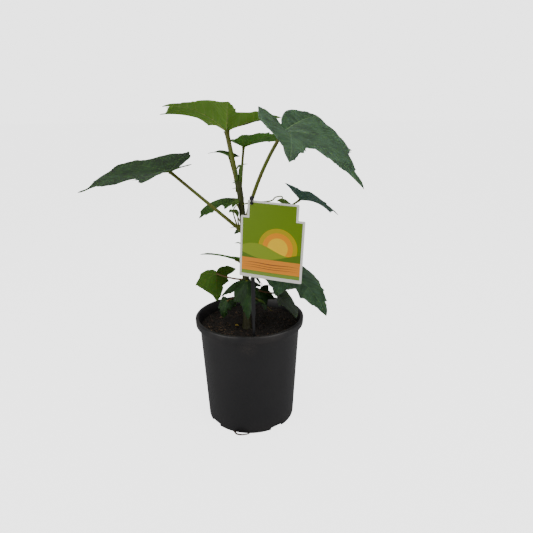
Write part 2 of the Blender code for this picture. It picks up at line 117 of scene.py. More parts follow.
world = bpy.data.worlds.new("studio")
world.use_nodes = True
sky = world.node_tree
seen = add(sky, "LightPath").outputs["Is Camera Ray"]
glow = add(sky, "Mix", {0: seen, 2: WORLD_LIGHT, 3: BACKDROP_GLOW}, data_type="FLOAT")
sky.nodes["Background"].inputs["Color"].default_value = (1.0, 1.0, 1.0, 1.0)
sky.links.new(glow.outputs[0], sky.nodes["Background"].inputs["Strength"])
bpy.context.scene.world = world
for box_name, place, size, watts in SOFTBOXES:
    light = bpy.data.lights.new(box_name, "AREA")
    light.size = size * MM
    light.energy = watts
    lamp = bpy.data.objects.new(box_name, light)
    lamp.location = Vector(place) * MM
    aim = Vector((0.0, 0.0, 0.25)) - lamp.location
    lamp.rotation_euler = aim.to_track_quat("-Z", "Y").to_euler()
    bpy.context.scene.collection.objects.link(lamp)

bpy.ops.mesh.primitive_plane_add(size=2.0 * FLOOR_HALF * MM, location=(0.0, 0.0, -0.0005))
floor = bpy.context.active_object
floor.name = "floor"
# Painted board: matt white, with a faint unevenness of the roller's nap.
board, tree, shader = finish("painted_board", Roughness=0.9)
grain = add(tree, "TexNoise", {"Vector": add(tree, "TexCoord").outputs["Object"], "Scale": 40.0})
tone = add(tree, "Mix", {0: grain.outputs["Fac"], 6: linear("B0B0B0"), 7: linear("B4B4B4")},
           data_type="RGBA")
seen = add(tree, "LightPath").outputs["Is Camera Ray"]
lit = add(tree, "Math", {0: seen, 1: BOARD_GLOW}, operation="MULTIPLY")
tree.links.new(tone.outputs[2], shader.inputs["Base Color"])
shader.inputs["Emission Color"].default_value = (1.0, 1.0, 1.0, 1.0)
tree.links.new(lit.outputs[0], shader.inputs["Emission Strength"])
floor.data.materials.append(board)


# ---- pot ------------------------------------------------------------------------
# An injection-moulded nursery pot of black polypropylene: a thin tapering wall, a
# stiffening band turned out at the rim, and four drain notches at its foot.
pot_low, pot_high = (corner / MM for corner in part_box("pot"))
POT_HEIGHT = pot_high.z
RIM_RADIUS = (pot_high.x - pot_low.x) / 2.0
RIM_FLOOR = POT_HEIGHT - 11.0
WALL_TOP_RADIUS = 78.5
BASE_RADIUS = 69.5
WALL = 1.5
FLOOR = 2.0
POT_STEPS = 160
NOTCH_START = 37.0
NOTCH_COUNT = 4
NOTCH_SIZE = (10.0, 22.0, 10.0)
NOTCH_EDGE = 1.2
SMEAR_PLACE = (0.0, -79.0, 152.0)   # dried soil on the wall, just under the band
SMEAR_CORE = 4.0                    # full strength out to here, and gone at the reach
SMEAR_REACH = 18.0


def wall_radius(height):
    """Outside of the pot's wall at a height."""
    return BASE_RADIUS + (WALL_TOP_RADIUS - BASE_RADIUS) * height / RIM_FLOOR


def direction(bearing, rise):
    """The unit vector that points along a bearing in plan and rises above the level."""
    bearing, rise = math.radians(bearing), math.radians(rise)
    return Vector((math.cos(rise) * math.cos(bearing),
                   math.cos(rise) * math.sin(bearing),
                   math.sin(rise)))


def start_with(kind, **settings):
    """Adds a primitive with nothing else selected, and returns its object."""
    bpy.ops.object.select_all(action="DESELECT")
    getattr(bpy.ops.mesh, "primitive_%s_add" % kind)(**settings)
    return bpy.context.active_object


def apply_all(piece):
    """Applies the piece's modifiers and its place, so that its object sits at the origin."""
    bpy.ops.object.select_all(action="DESELECT")
    piece.select_set(True)
    bpy.context.view_layer.objects.active = piece
    for modifier in list(piece.modifiers):
        bpy.ops.object.modifier_apply(modifier=modifier.name)
    bpy.ops.object.transform_apply(location=True, rotation=True, scale=True)
    return piece


def keep(piece, slot, *nodes):
    """The piece belongs to the plant's one body and stands for those nodes; slot is not used."""
    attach(piece, "root")
    if nodes:
        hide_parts(*nodes)
    return piece


# Once round from the middle of the underside to the middle of the floor inside.
POT_PROFILE = (
    (60.0, 1.2), (63.0, 0.2), (BASE_RADIUS - 2.5, 0.0), (BASE_RADIUS - 1.0, 0.2),
    (wall_radius(1.2) - 0.2, 1.2), (wall_radius(3.0), 3.0), (wall_radius(40.0), 40.0),
    (wall_radius(80.0), 80.0), (wall_radius(120.0), 120.0), (wall_radius(150.0), 150.0),
    (wall_radius(158.0) + 0.1, 158.0), (WALL_TOP_RADIUS + 0.6, RIM_FLOOR - 0.7),
    (RIM_RADIUS - 1.6, RIM_FLOOR - 0.2), (RIM_RADIUS - 0.7, RIM_FLOOR + 0.3),
    (RIM_RADIUS - 0.5, RIM_FLOOR + 1.4), (RIM_RADIUS - 0.1, POT_HEIGHT - 2.2),
    (RIM_RADIUS - 0.3, POT_HEIGHT - 1.0), (RIM_RADIUS - 1.0, POT_HEIGHT - 0.2),
    (RIM_RADIUS - 2.0, POT_HEIGHT), (81.2, POT_HEIGHT), (80.3, POT_HEIGHT - 0.4),
    (79.6, POT_HEIGHT - 1.6), (78.4, RIM_FLOOR + 2.0), (77.3, RIM_FLOOR - 3.0),
    (wall_radius(140.0) - WALL, 140.0), (wall_radius(60.0) - WALL, 60.0),
    (wall_radius(5.0) - WALL, 5.0), (wall_radius(3.0) - 3.0, FLOOR), (40.0, FLOOR),
)
radius, height = POT_PROFILE[0]
pot = start_with("circle", vertices=POT_STEPS, radius=radius * MM,
                 location=(0.0, 0.0, height * MM), fill_type="TRIFAN")
pot.name = "nursery_pot"
bpy.ops.object.mode_set(mode="EDIT")
bpy.ops.mesh.select_mode(type="EDGE")
bpy.ops.mesh.select_all(action="DESELECT")
bpy.ops.mesh.select_non_manifold()
for next_radius, next_height in POT_PROFILE[1:]:
    bpy.ops.mesh.extrude_region_move(
        TRANSFORM_OT_translate={"value": (0.0, 0.0, (next_height - height) * MM)})
    bpy.ops.transform.resize(value=(next_radius / radius, next_radius / radius, 1.0),
                             center_override=(0.0, 0.0, 0.0))
    radius, height = next_radius, next_height
bpy.ops.mesh.merge(type="CENTER")
bpy.ops.mesh.select_all(action="SELECT")
bpy.ops.mesh.normals_make_consistent(inside=False)
bpy.ops.object.mode_set(mode="OBJECT")

cutters = []
for number in range(NOTCH_COUNT):
    bearing = NOTCH_START + number * 360.0 / NOTCH_COUNT
    cutter = start_with("cube", size=1.0, location=direction(bearing, 0.0) * BASE_RADIUS * MM,
                        rotation=(0.0, 0.0, math.radians(bearing)))
    cutter.scale = Vector(NOTCH_SIZE) * MM
    apply_all(cutter)
    round_edges = cutter.modifiers.new("round", "BEVEL")
    round_edges.width = NOTCH_EDGE * MM
    round_edges.segments = 3
    apply_all(cutter)
    cut = pot.modifiers.new("notch", "BOOLEAN")
    cut.operation = "DIFFERENCE"
    cut.object = cutter
    cutters.append(cutter)
apply_all(pot)
for cutter in cutters:
    bpy.data.objects.remove(cutter, do_unlink=True)
pot.data.shade_smooth()
pot.data.set_sharp_from_angle(angle=math.radians(35.0))

# Black polypropylene, moulded: a satin skin with a very fine texture from the mould, a
# little dried soil that dulls the foot and the band, and a speckled smear of it in front.
pot_plastic, tree, shader = finish("moulded_polypropylene", IOR=1.49)
place = add(tree, "TexCoord").outputs["Object"]
cloud = add(tree, "TexNoise", {"Vector": place, "Scale": 1 / (28 * MM), "Detail": 5.0})
speck = add(tree, "TexNoise", {"Vector": place, "Scale": 1 / (1.6 * MM), "Detail": 3.0})
high = add(tree, "SeparateXYZ", {0: place}).outputs["Z"]
foot_dust = add(tree, "MapRange", {"Value": high, "From Min": 0.030, "From Max": 0.0,
                                   "To Min": 0.0, "To Max": 0.08})
rim_dust = add(tree, "MapRange", {"Value": high, "From Min": 0.145, "From Max": 0.171,
                                  "To Min": 0.0, "To Max": 0.25})
dust = add(tree, "Math", {0: foot_dust.outputs[0], 1: rim_dust.outputs[0]}, operation="ADD")
patch = add(tree, "MapRange", {"Value": cloud.outputs["Fac"], "From Min": 0.42, "From Max": 0.72})
dried = add(tree, "Math", {0: dust.outputs[0], 1: patch.outputs[0]}, operation="MULTIPLY")
from_smear = add(tree, "VectorMath", {0: place, 1: Vector(SMEAR_PLACE) * MM},
                 operation="DISTANCE")
smear = add(tree, "MapRange", {"Value": from_smear.outputs["Value"],
                               "From Min": SMEAR_CORE * MM, "From Max": SMEAR_REACH * MM,
                               "To Min": 0.22, "To Max": 0.0})
blotch = add(tree, "MapRange", {"Value": speck.outputs["Fac"], "From Min": 0.40,
                                "From Max": 0.60})
dusty = add(tree, "Math", {0: smear.outputs[0], 1: blotch.outputs[0], 2: dried.outputs[0]},
            operation="MULTIPLY_ADD")
black = add(tree, "Mix", {0: cloud.outputs["Fac"], 6: linear("141315"), 7: linear("1C1B1D")},
            data_type="RGBA")
dusted = add(tree, "Mix", {0: dusty.outputs[0], 6: black.outputs[2], 7: linear("5A5148")},
             data_type="RGBA")
gloss = add(tree, "MapRange", {"Value": speck.outputs["Fac"], "To Min": 0.34, "To Max": 0.50})
dull = add(tree, "Math", {0: dusty.outputs[0], 1: 0.35, 2: gloss.outputs[0]},
           operation="MULTIPLY_ADD")
relief = add(tree, "Bump", {"Height": speck.outputs["Fac"], "Distance": 0.05 * MM,
                            "Strength": 0.5})
tree.links.new(dusted.outputs[2], shader.inputs["Base Color"])
tree.links.new(dull.outputs[0], shader.inputs["Roughness"])
tree.links.new(relief.outputs[0], shader.inputs["Normal"])
pot.data.materials.append(pot_plastic)
keep(pot, "pot_plastic", "pot")


# ---- potting mix ----------------------------------------------------------------
# Composted bark and coir, dark and moist: an uneven bed with crumbs and bark chips
# lying on it, a little below the rim.
SOIL_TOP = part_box("soil")[1].z / MM - 2.0
SOIL_EDGE = wall_radius(SOIL_TOP) - WALL - 0.2
SOIL_DEPTH = 12.0
BED_RINGS = 56
BED_STEPS = 220
BED_ROUGH = ((14.0, 1.4), (5.0, 1.2), (1.9, 0.7))     # lump size, height
CRUMBS = 2600
CRUMB_SIZE = (0.8, 2.6)
CHIPS = 150
CHIP_SIZE = (2.5, 7.5)
LEFT_PATCH = (-45.0, -25.0, 26.0)   # where more chips lie: across, deep, radius


def mesh_piece(name, points, faces, *materials, smooth=True):
    """A mesh object from points in millimetres and faces."""
    mesh = bpy.data.meshes.new(name)
    mesh.from_pydata([tuple(point) for point in np.asarray(points) * MM], [], faces)
    for material in materials:
        mesh.materials.append(material)
    if smooth:
        mesh.shade_smooth()
    mesh.update()
    made = bpy.data.objects.new(name, mesh)
    bpy.context.scene.collection.objects.link(made)
    return made


def bed_height(across, deep):
    """Height of the soil's surface at a place, in millimetres."""
    reach = math.hypot(across, deep)
    swell = 1.6 * math.exp(-((reach - 50.0) / 16.0) ** 2)
    rough = sum(high * noise.noise(Vector((across / lump, deep / lump, 7.0)))
                for lump, high in BED_ROUGH)
    settle = min(1.0, max(0.0, (SOIL_EDGE - reach) / 4.0))
    return SOIL_TOP - 0.8 + swell + rough * (0.4 + 0.6 * settle)


points, faces = [(0.0, 0.0, bed_height(0.0, 0.0))], []
for ring in range(1, BED_RINGS + 1):
    reach = SOIL_EDGE * ring / BED_RINGS
    for step in range(BED_STEPS):
        turn = 2.0 * math.pi * step / BED_STEPS
        across, deep = reach * math.cos(turn), reach * math.sin(turn)
        points.append((across, deep, bed_height(across, deep)))
last = len(points) - BED_STEPS
points += [(x * 0.98, y * 0.98, SOIL_TOP - SOIL_DEPTH) for x, y, _ in points[last:]]
points.append((0.0, 0.0, SOIL_TOP - SOIL_DEPTH))
for step in range(BED_STEPS):
    after = (step + 1) % BED_STEPS
    faces.append((0, 1 + step, 1 + after))
    for ring in range(BED_RINGS):
        inner, outer = 1 + ring * BED_STEPS, 1 + (ring + 1) * BED_STEPS
        faces.append((inner + step, outer + step, outer + after, inner + after))
    faces.append((last + BED_STEPS + step, len(points) - 1, last + BED_STEPS + after))

# Moist composted bark: near-black brown and matt, with browner crumbs showing through.
compost, tree, shader = finish("composted_bark", Roughness=0.92)
place = add(tree, "TexCoord").outputs["Object"]
crumb = add(tree, "TexVoronoi", {"Vector": place, "Scale": 1 / (2.4 * MM)})
cloud = add(tree, "TexNoise", {"Vector": place, "Scale": 1 / (9 * MM), "Detail": 6.0})
dark = add(tree, "Mix", {0: cloud.outputs["Fac"], 6: linear("0F0C09"), 7: linear("2A211A")},
           data_type="RGBA")
relief = add(tree, "Bump", {"Height": crumb.outputs["Distance"], "Distance": 0.8 * MM,
                            "Strength": 0.8})
tree.links.new(dark.outputs[2], shader.inputs["Base Color"])
tree.links.new(relief.outputs[0], shader.inputs["Normal"])
keep(mesh_piece("soil_bed", points, faces, compost), "potting_mix", "soil")

# Crumbs and chips are copies of one crumb, in three tones of damp, brown and dry bark.
scatter = np.random.default_rng(11)


def bark_tone(name, code):
    """Broken bark: one tone that darkens in flecks, rough to the touch."""
    made, tree, shader = finish(name, Roughness=0.85)
    place = add(tree, "TexCoord").outputs["Object"]
    fleck = add(tree, "TexNoise", {"Vector": place, "Scale": 1 / (1.2 * MM), "Detail": 4.0})
    tone = add(tree, "Mix", {0: fleck.outputs["Fac"], 6: linear(code), 7: linear("120E0B")},
               data_type="RGBA")
    relief = add(tree, "Bump", {"Height": fleck.outputs["Fac"], "Distance": 0.3 * MM})
    tree.links.new(tone.outputs[2], shader.inputs["Base Color"])
    tree.links.new(relief.outputs[0], shader.inputs["Normal"])
    return made


BARK_TONES = [bark_tone("damp_bark", "211A14"), bark_tone("brown_bark", "4A3526"),
              bark_tone("dry_bark", "7A5F44")]


def scattered(name, count, sizes, flatness, tone_shares, patch=None):
    """Copies of one jittered crumb laid over the bed or over a patch (across, deep, radius)."""
    seed = bmesh.new()
    bmesh.ops.create_icosphere(seed, subdivisions=1, radius=0.5)
    crumb_points = np.array([vert.co for vert in seed.verts])
    crumb_faces = [[vert.index for vert in face.verts] for face in seed.faces]
    seed.free()
    points, faces, tones = [], [], []
    while len(tones) < count * len(crumb_faces):
        reach = (SOIL_EDGE - 2.5) * math.sqrt(scatter.random())
        bearing = scatter.uniform(0.0, 360.0)
        spot = direction(bearing, 0.0) * reach
        if patch:
            spot = spot * (patch[2] / SOIL_EDGE) + Vector((patch[0], patch[1], 0.0))
        size = sizes[0] + (sizes[1] - sizes[0]) * scatter.random() ** 2.5
        long, wide, thick = size, size * scatter.uniform(0.45, 0.9), size * flatness
        turn = np.array((Matrix.Rotation(scatter.uniform(0.0, 6.28), 3, "Z")
                         @ Matrix.Rotation(scatter.normal(0.0, 0.35), 3, "X")
                         @ Matrix.Rotation(scatter.normal(0.0, 0.35), 3, "Y")))
        jitter = 1.0 + scatter.uniform(-0.25, 0.25, crumb_points.shape)
        shape = crumb_points * jitter * (long, wide, thick) @ turn.T
        spot.z = bed_height(spot.x, spot.y) + 0.25 * thick
        faces += [[len(points) + corner for corner in face] for face in crumb_faces]
        points += list(shape + np.array(spot))
        tone = int(np.searchsorted(np.cumsum(tone_shares), scatter.random()))
        tones += [min(tone, 2)] * len(crumb_faces)
    piece = mesh_piece(name, points, faces, *BARK_TONES, smooth=False)
    piece.data.polygons.foreach_set("material_index", tones)
    return keep(piece, "potting_mix")


scattered("soil_crumbs", CRUMBS, CRUMB_SIZE, 0.7, (0.64, 0.25, 0.11))
scattered("bark_chips", CHIPS, CHIP_SIZE, 0.28, (0.35, 0.45, 0.20))
scattered("bark_chips_left", CHIPS // 3, CHIP_SIZE, 0.28, (0.10, 0.50, 0.40), LEFT_PATCH)


# ---- stem -----------------------------------------------------------------------
# The young trunk: soft green wood, thicker where it enters the soil, with a swelling
# under each leaf stalk, and corky flecks on its lower half.
STEM_FOOT = (-4.0, -16.0)
STEM_START = 156.0
STEM_TOP = 380.0
STEM_LEAN = 9.0
STEM_BEND = 4
STEM_FOOT_RADIUS = 5.2
STEM_TOP_RADIUS = 3.7
BARK = 0.5                 # the skin stands this much proud of the solid stem
FLARE = 1.8
FLARE_FADE = 7.0
STEM_SIDES = 32
STEM_RINGS = 260
NODE_SWELL = 0.45
NODE_SPREAD = 3.2


def stem_point(height):
    """The stem's middle line, in millimetres."""
    share = (height - STEM_START) / (STEM_TOP - STEM_START)
    return Vector((STEM_FOOT[0] - STEM_LEAN * share ** STEM_BEND,
                   STEM_FOOT[1] * (1.0 - share), height))


def stem_radius(height):
    """Outside of the stem's skin, which flares out where it enters the soil."""
    share = (height - STEM_START) / (STEM_TOP - STEM_START)
    plain = STEM_FOOT_RADIUS + (STEM_TOP_RADIUS - STEM_FOOT_RADIUS) * share
    return plain + BARK + FLARE * math.exp(-(height - STEM_START) / FLARE_FADE)


def tube(points, radii, sides, relief=None):
    """Rings round a line of points, closed at both ends; relief(ring, turn) adds to a radius."""
    points = [Vector(point) for point in points]
    corners, faces = [], []
    side = None
    for ring, (point, radius) in enumerate(zip(points, radii)):
        before, after = points[max(0, ring - 1)], points[min(len(points) - 1, ring + 1)]
        ahead = (after - before).normalized()
        if side is None:
            side = ahead.orthogonal().normalized()
        side = (side - ahead * side.dot(ahead)).normalized()
        across = ahead.cross(side)
        for step in range(sides):
            turn = 2.0 * math.pi * step / sides
            reach = radius + (relief(ring, turn) if relief else 0.0)
            corners.append(point + (side * math.cos(turn) + across * math.sin(turn)) * reach)
    for ring in range(len(points) - 1):
        for step in range(sides):
            after = (step + 1) % sides
            faces.append((ring * sides + step, ring * sides + after,
                          (ring + 1) * sides + after, (ring + 1) * sides + step))
    corners += [points[0], points[-1]]
    for step in range(sides):
        after = (step + 1) % sides
        faces.append((len(corners) - 2, after, step))
        faces.append((len(corners) - 1, (len(points) - 1) * sides + step,
                      (len(points) - 1) * sides + after))
    return corners, faces


# Where each leaf leaves the stem and how its blade lies.
# The numbers of the thirteen leaves from top_left to low_front_left come from a numerical
# fit of each blade to its outline, rounded. They weren't chosen by hand, apart from thick,
# finish, ragged and wavy and a few corrections.
# node: height on the stem; bearing, rise, stalk: the stalk's direction and length;
# bow: how far its middle is lifted, as a share of its length; thick: its own radius.
# heading, dip, roll: the way the main lobe points; length: of the main lobe.
# cup, wing: how steeply the lobes rise from the joint, and more of it at the sides;
# droop, side_droop: how far they bend down again; fold: how far margins rise from veins.
# finish: the leaf's material; ragged: how much larger than usual the points on its margin
# are, and wavy: the same for the waves in it.
LEAVES = {
    "top_left": dict(node=371, bearing=124, rise=68, stalk=84, bow=0.0, thick=3.7,
                     heading=219, dip=-17, roll=11, length=110, form="cupped",
                     cup=27, wing=5, droop=51, side_droop=-15, fold=17, finish="lit"),
    "top_right": dict(node=318, bearing=-35, rise=62, stalk=150, bow=0.05,
                      heading=-41, dip=36, roll=-5, length=142, form="broad",
                      cup=28, droop=40, side_droop=12, fold=4, finish="glossy"),
    "left": dict(node=308, bearing=171, rise=38, stalk=138, bow=0.0,
                 heading=201, dip=11, roll=-3, length=132, form="long",
                 cup=11, wing=7, droop=20, fold=-1, finish="deep", wavy=2.2),
    "top_back": dict(node=364, bearing=83, rise=56, stalk=74, bow=0.02,
                     heading=8, dip=-1, roll=-7, length=91, form="arched",
                     cup=21, wing=3, droop=45, side_droop=-16, fold=11, finish="soft",
                     ragged=4.5),
    "top_small": dict(node=356, bearing=111, rise=46, stalk=76, bow=0.0,
                      heading=177, dip=-21, roll=-1, length=34, form="tiny",
                      cup=16, wing=14, droop=57, side_droop=-16, fold=2, finish="soft"),
    "middle_left": dict(node=330, bearing=109, rise=20, stalk=48, bow=0.05,
                        heading=152, dip=4, roll=-5, length=76, form="narrow",
                        cup=12, wing=-13, droop=63, side_droop=1, fold=2, finish="soft",
                        ragged=1.5),
    "middle_right": dict(node=300, bearing=13, rise=30, stalk=99, bow=0.0,
                         heading=-22, dip=19, roll=-22, length=64, form="star",
                         cup=23, wing=8, droop=44, side_droop=5, fold=8, finish="painted_light_pale"),
    "low_back_left": dict(node=250, bearing=115, rise=4, stalk=39, bow=0.05,
                          heading=207, dip=-30, roll=11, length=63, form="stout",
                          cup=-3, wing=13, droop=21, side_droop=4, fold=6, finish="soft"),
    "right": dict(node=246, bearing=0, rise=1, stalk=59, bow=0.05,
                  heading=-45, dip=19, roll=-4, length=100, form="drooping",
                  cup=12, wing=-7, droop=49, side_droop=1, fold=4, finish="glossy"),
    "low_left": dict(node=232, bearing=151, rise=2, stalk=54, bow=-0.04,
                     heading=135, dip=87, roll=21, length=47, form="round",
                     cup=6, wing=12, droop=20, fold=0, finish="olive"),
    "low_right": dict(node=222, bearing=7, rise=-16, stalk=51, bow=-0.06,
                      heading=-72, dip=63, roll=-47, length=50, form="folded",
                      cup=29, wing=-2, droop=-2, side_droop=40, fold=3, finish="dull"),
    "low_front": dict(node=207, bearing=-83, rise=59, stalk=35, bow=0.08,
                      heading=-82, dip=18, roll=-4, length=59, form="tongue",
                      cup=-14, wing=-6, droop=55, side_droop=-8, fold=-6, finish="deep"),
    "low_front_left": dict(node=189, bearing=-140, rise=27, stalk=41, bow=0.25,
                           heading=239, dip=51, roll=-24, length=32, form="oak",
                           cup=-10, wing=-11, droop=67, side_droop=30, fold=7, finish="deep"),
    "low_front_right": dict(node=194, bearing=30, rise=35, stalk=30, bow=0.08,
                            heading=-50, dip=62, roll=10, length=32, form="slim",
                            cup=5, droop=20, fold=4, finish="deep"),
    "inner_right": dict(node=226, bearing=58, rise=13, stalk=24, bow=0.05,
                        heading=5, dip=50, roll=0, length=22, form="slim",
                        cup=5, droop=15, fold=4, finish="deep"),
    "back": dict(node=284, bearing=72, rise=12, stalk=62, bow=0.05,
                 heading=80, dip=20, roll=0, length=72, form="open",
                 cup=12, droop=40, fold=5, finish="glossy"),
    "back_right": dict(node=262, bearing=48, rise=14, stalk=62, bow=0.05,
                       heading=40, dip=30, roll=0, length=52, form="open",
                       cup=10, droop=35, fold=5, finish="glossy"),
    "shoot": dict(node=311, bearing=216, rise=60, stalk=34, bow=0.05, thick=1.0,
                  heading=-10, dip=-55, roll=0, length=13, form="slim",
                  cup=10, droop=20, finish="lit"),
}

stem_heights = np.linspace(STEM_START - 1.0, STEM_TOP, STEM_RINGS)


def stem_relief(ring, turn):
    """Swellings below each leaf stalk, faint ribs, and the skin's own unevenness."""
    height = stem_heights[ring]
    extra = 0.10 * math.sin(5.0 * turn + 0.06 * height) + 0.16 * noise.noise(
        Vector((3.0 * math.cos(turn), 3.0 * math.sin(turn), height / 9.0)))
    extra += NODE_SWELL * max(math.exp(-((leaf["node"] - 1.5 - height) / NODE_SPREAD) ** 2)
                              for leaf in LEAVES.values())
    corky = max(0.0, min(1.0, (250.0 - height) / 90.0))
    extra += 0.22 * corky * noise.noise(
        Vector((9.0 * math.cos(turn), 9.0 * math.sin(turn), height / 2.2)))
    return extra


points, faces = tube([stem_point(height) for height in stem_heights],
                     [stem_radius(height) for height in stem_heights], STEM_SIDES, stem_relief)

# Young papaya bark: smooth olive-green skin above, browner and corky towards the soil,
# with pale lenticels drawn out round the stem.
stem_skin, tree, shader = finish("young_bark", Roughness=0.55, IOR=1.42)
place = add(tree, "TexCoord").outputs["Object"]
high = add(tree, "SeparateXYZ", {0: place}).outputs["Z"]
age = add(tree, "MapRange", {"Value": high, "From Min": 0.165, "From Max": 0.300})
cloud = add(tree, "TexNoise", {"Vector": place, "Scale": 1 / (7 * MM), "Detail": 5.0})
aged = add(tree, "Math", {0: age.outputs[0], 1: cloud.outputs["Fac"]}, operation="MULTIPLY")
green = add(tree, "Mix", {0: aged.outputs[0], 6: linear("33321A"), 7: linear("424E12")},
            data_type="RGBA")
squash = add(tree, "Mapping", {"Vector": place, "Scale": (1.0, 1.0, 2.6)})
fleck = add(tree, "TexNoise", {"Vector": squash.outputs[0], "Scale": 1 / (1.5 * MM),
                               "Detail": 2.0})
lenticel = add(tree, "MapRange", {"Value": fleck.outputs["Fac"], "From Min": 0.62,
                                  "From Max": 0.70, "To Max": 0.55})
skin = add(tree, "Mix", {0: lenticel.outputs[0], 6: green.outputs[2], 7: linear("5A5830")},
           data_type="RGBA")
relief = add(tree, "Bump", {"Height": fleck.outputs["Fac"], "Distance": 0.25 * MM})
tree.links.new(skin.outputs[2], shader.inputs["Base Color"])
tree.links.new(relief.outputs[0], shader.inputs["Normal"])
keep(mesh_piece("stem_bark", points, faces, stem_skin), "stem", "stem")


# ---- leaf stalks ----------------------------------------------------------------
# Each stalk is one soft, slightly grooved limb. It swells into a knee where it leaves
# the stem and spreads again where the blade's veins meet on top of it.
STALK_RINGS = 60
STALK_SIDES = 16
THINNEST_STALK = 0.7       # a stalk's radius at the stem is this and a share of its leaf
LEAF_PER_RADIUS = 68.0     # millimetres of leaf for each millimetre of radius
SKIN_SHARE = 1.05          # the skin's radius as a share of the solid stalk's
TAPER = 0.15               # share of the radius lost on the way to the blade
KNEE = 1.1                 # about this many millimetres of extra radius at the stem
KNEE_FADE = 4.5            # millimetres along the stalk
SHOOT_LENGTH = 20.0        # up to this length of leaf the knee is only a share of the radius
SHOOT_KNEE = 0.4
SINK = 2.0                 # how far below its node a steep stalk starts, in its own radii
HEAD = 0.45                # extra share of the radius under the blade
HEAD_FADE = 3.5
GROOVE = 0.14              # share of the radius
BLADE_THICK = 0.5


def blade_axes(leaf):
    """The blade's own axes: along the main lobe, to its left, and up from its face."""
    ahead = direction(leaf["heading"], -leaf["dip"])
    left = direction(leaf["heading"] + 90.0, 0.0)
    left = Matrix.Rotation(math.radians(leaf["roll"]), 3, ahead) @ left
    return ahead, left, ahead.cross(left)


def joint(leaf):
    """Where the stalk meets the blade."""
    return stem_point(leaf["node"]) + direction(leaf["bearing"], leaf["rise"]) * leaf["stalk"]


def stalk_thick(leaf):
    """Radius of the leaf's stalk at the stem."""
    return leaf.get("thick", THINNEST_STALK + leaf["length"] / LEAF_PER_RADIUS)


def stalk_line(leaf, rings):
    """The stalk's middle line, from inside the stem's skin to the blade's underside."""
    steep = max(0.0, math.sin(math.radians(leaf["rise"])))
    low = leaf["node"] - SINK * stalk_thick(leaf) * steep ** 2
    start = stem_point(low) + direction(leaf["bearing"], 0.0) * 0.5 * stem_radius(low)
    end = joint(leaf) - blade_axes(leaf)[2] * 0.2 * BLADE_THICK
    lift = direction(leaf["bearing"], leaf["rise"] + 90.0) * leaf["bow"] * leaf["stalk"]
    control = (start + end) / 2.0 + lift * 2.0
    shares = np.linspace(0.0, 1.0, rings)
    return [start * (1 - t) ** 2 + control * 2 * t * (1 - t) + end * t ** 2 for t in shares]


def stalk(name, leaf, material):
    """One stalk: a tapering tube with its knee, its head and the groove along its top."""
    line = stalk_line(leaf, STALK_RINGS)
    thick = stalk_thick(leaf)
    run = (line[-1] - line[0]).length
    knee = KNEE / thick if leaf["length"] > SHOOT_LENGTH else SHOOT_KNEE
    radii = []
    for t in np.linspace(0.0, 1.0, STALK_RINGS):
        plain = SKIN_SHARE * thick * (1.0 - TAPER * t)
        radii.append(plain * (1.0 + knee * math.exp(-(run * t / KNEE_FADE) ** 2)
                              + HEAD * math.exp(-run * (1.0 - t) / HEAD_FADE)))
    up_turn = math.pi / 2.0

    def groove(ring, turn):
        dip = -GROOVE * thick * max(0.0, math.cos(turn - up_turn)) ** 6
        return dip + 0.03 * thick * noise.noise(Vector((math.cos(turn), math.sin(turn),
                                                        ring / 5.0)))

    points, faces = tube(line, radii, STALK_SIDES, groove)
    return keep(mesh_piece("limb_" + name, points, faces, material), "leaf_stalk", "stalk_" + name)


def stalk_finish(name, green, blush):
    """Young stalk skin: waxy and smooth, green with a redder flush that comes and goes."""
    made, tree, shader = finish(name, Roughness=0.42, IOR=1.42)
    place = add(tree, "TexCoord").outputs["Object"]
    cloud = add(tree, "TexNoise", {"Vector": place, "Scale": 1 / (18 * MM), "Detail": 3.0})
    flush = add(tree, "MapRange", {"Value": cloud.outputs["Fac"], "From Min": 0.40,
                                   "From Max": 0.65})
    tone = add(tree, "Mix", {0: flush.outputs[0], 6: linear(green), 7: linear(blush)},
               data_type="RGBA")
    streak = add(tree, "TexNoise", {"Vector": place, "Scale": 1 / (0.9 * MM)})
    relief = add(tree, "Bump", {"Height": streak.outputs["Fac"], "Distance": 0.08 * MM})
    tree.links.new(tone.outputs[2], shader.inputs["Base Color"])
    tree.links.new(relief.outputs[0], shader.inputs["Normal"])
    return made


GREEN_STALK = stalk_finish("green_stalk_skin", "5A6A12", "60601A")
RED_STALK = stalk_finish("red_stalk_skin", "5C4C22", "5E3622")
RED_STALKS = ("low_left", "low_right", "low_front_left", "right")
for place_name, leaf in LEAVES.items():
    stalk(place_name, leaf, RED_STALK if place_name in RED_STALKS else GREEN_STALK)


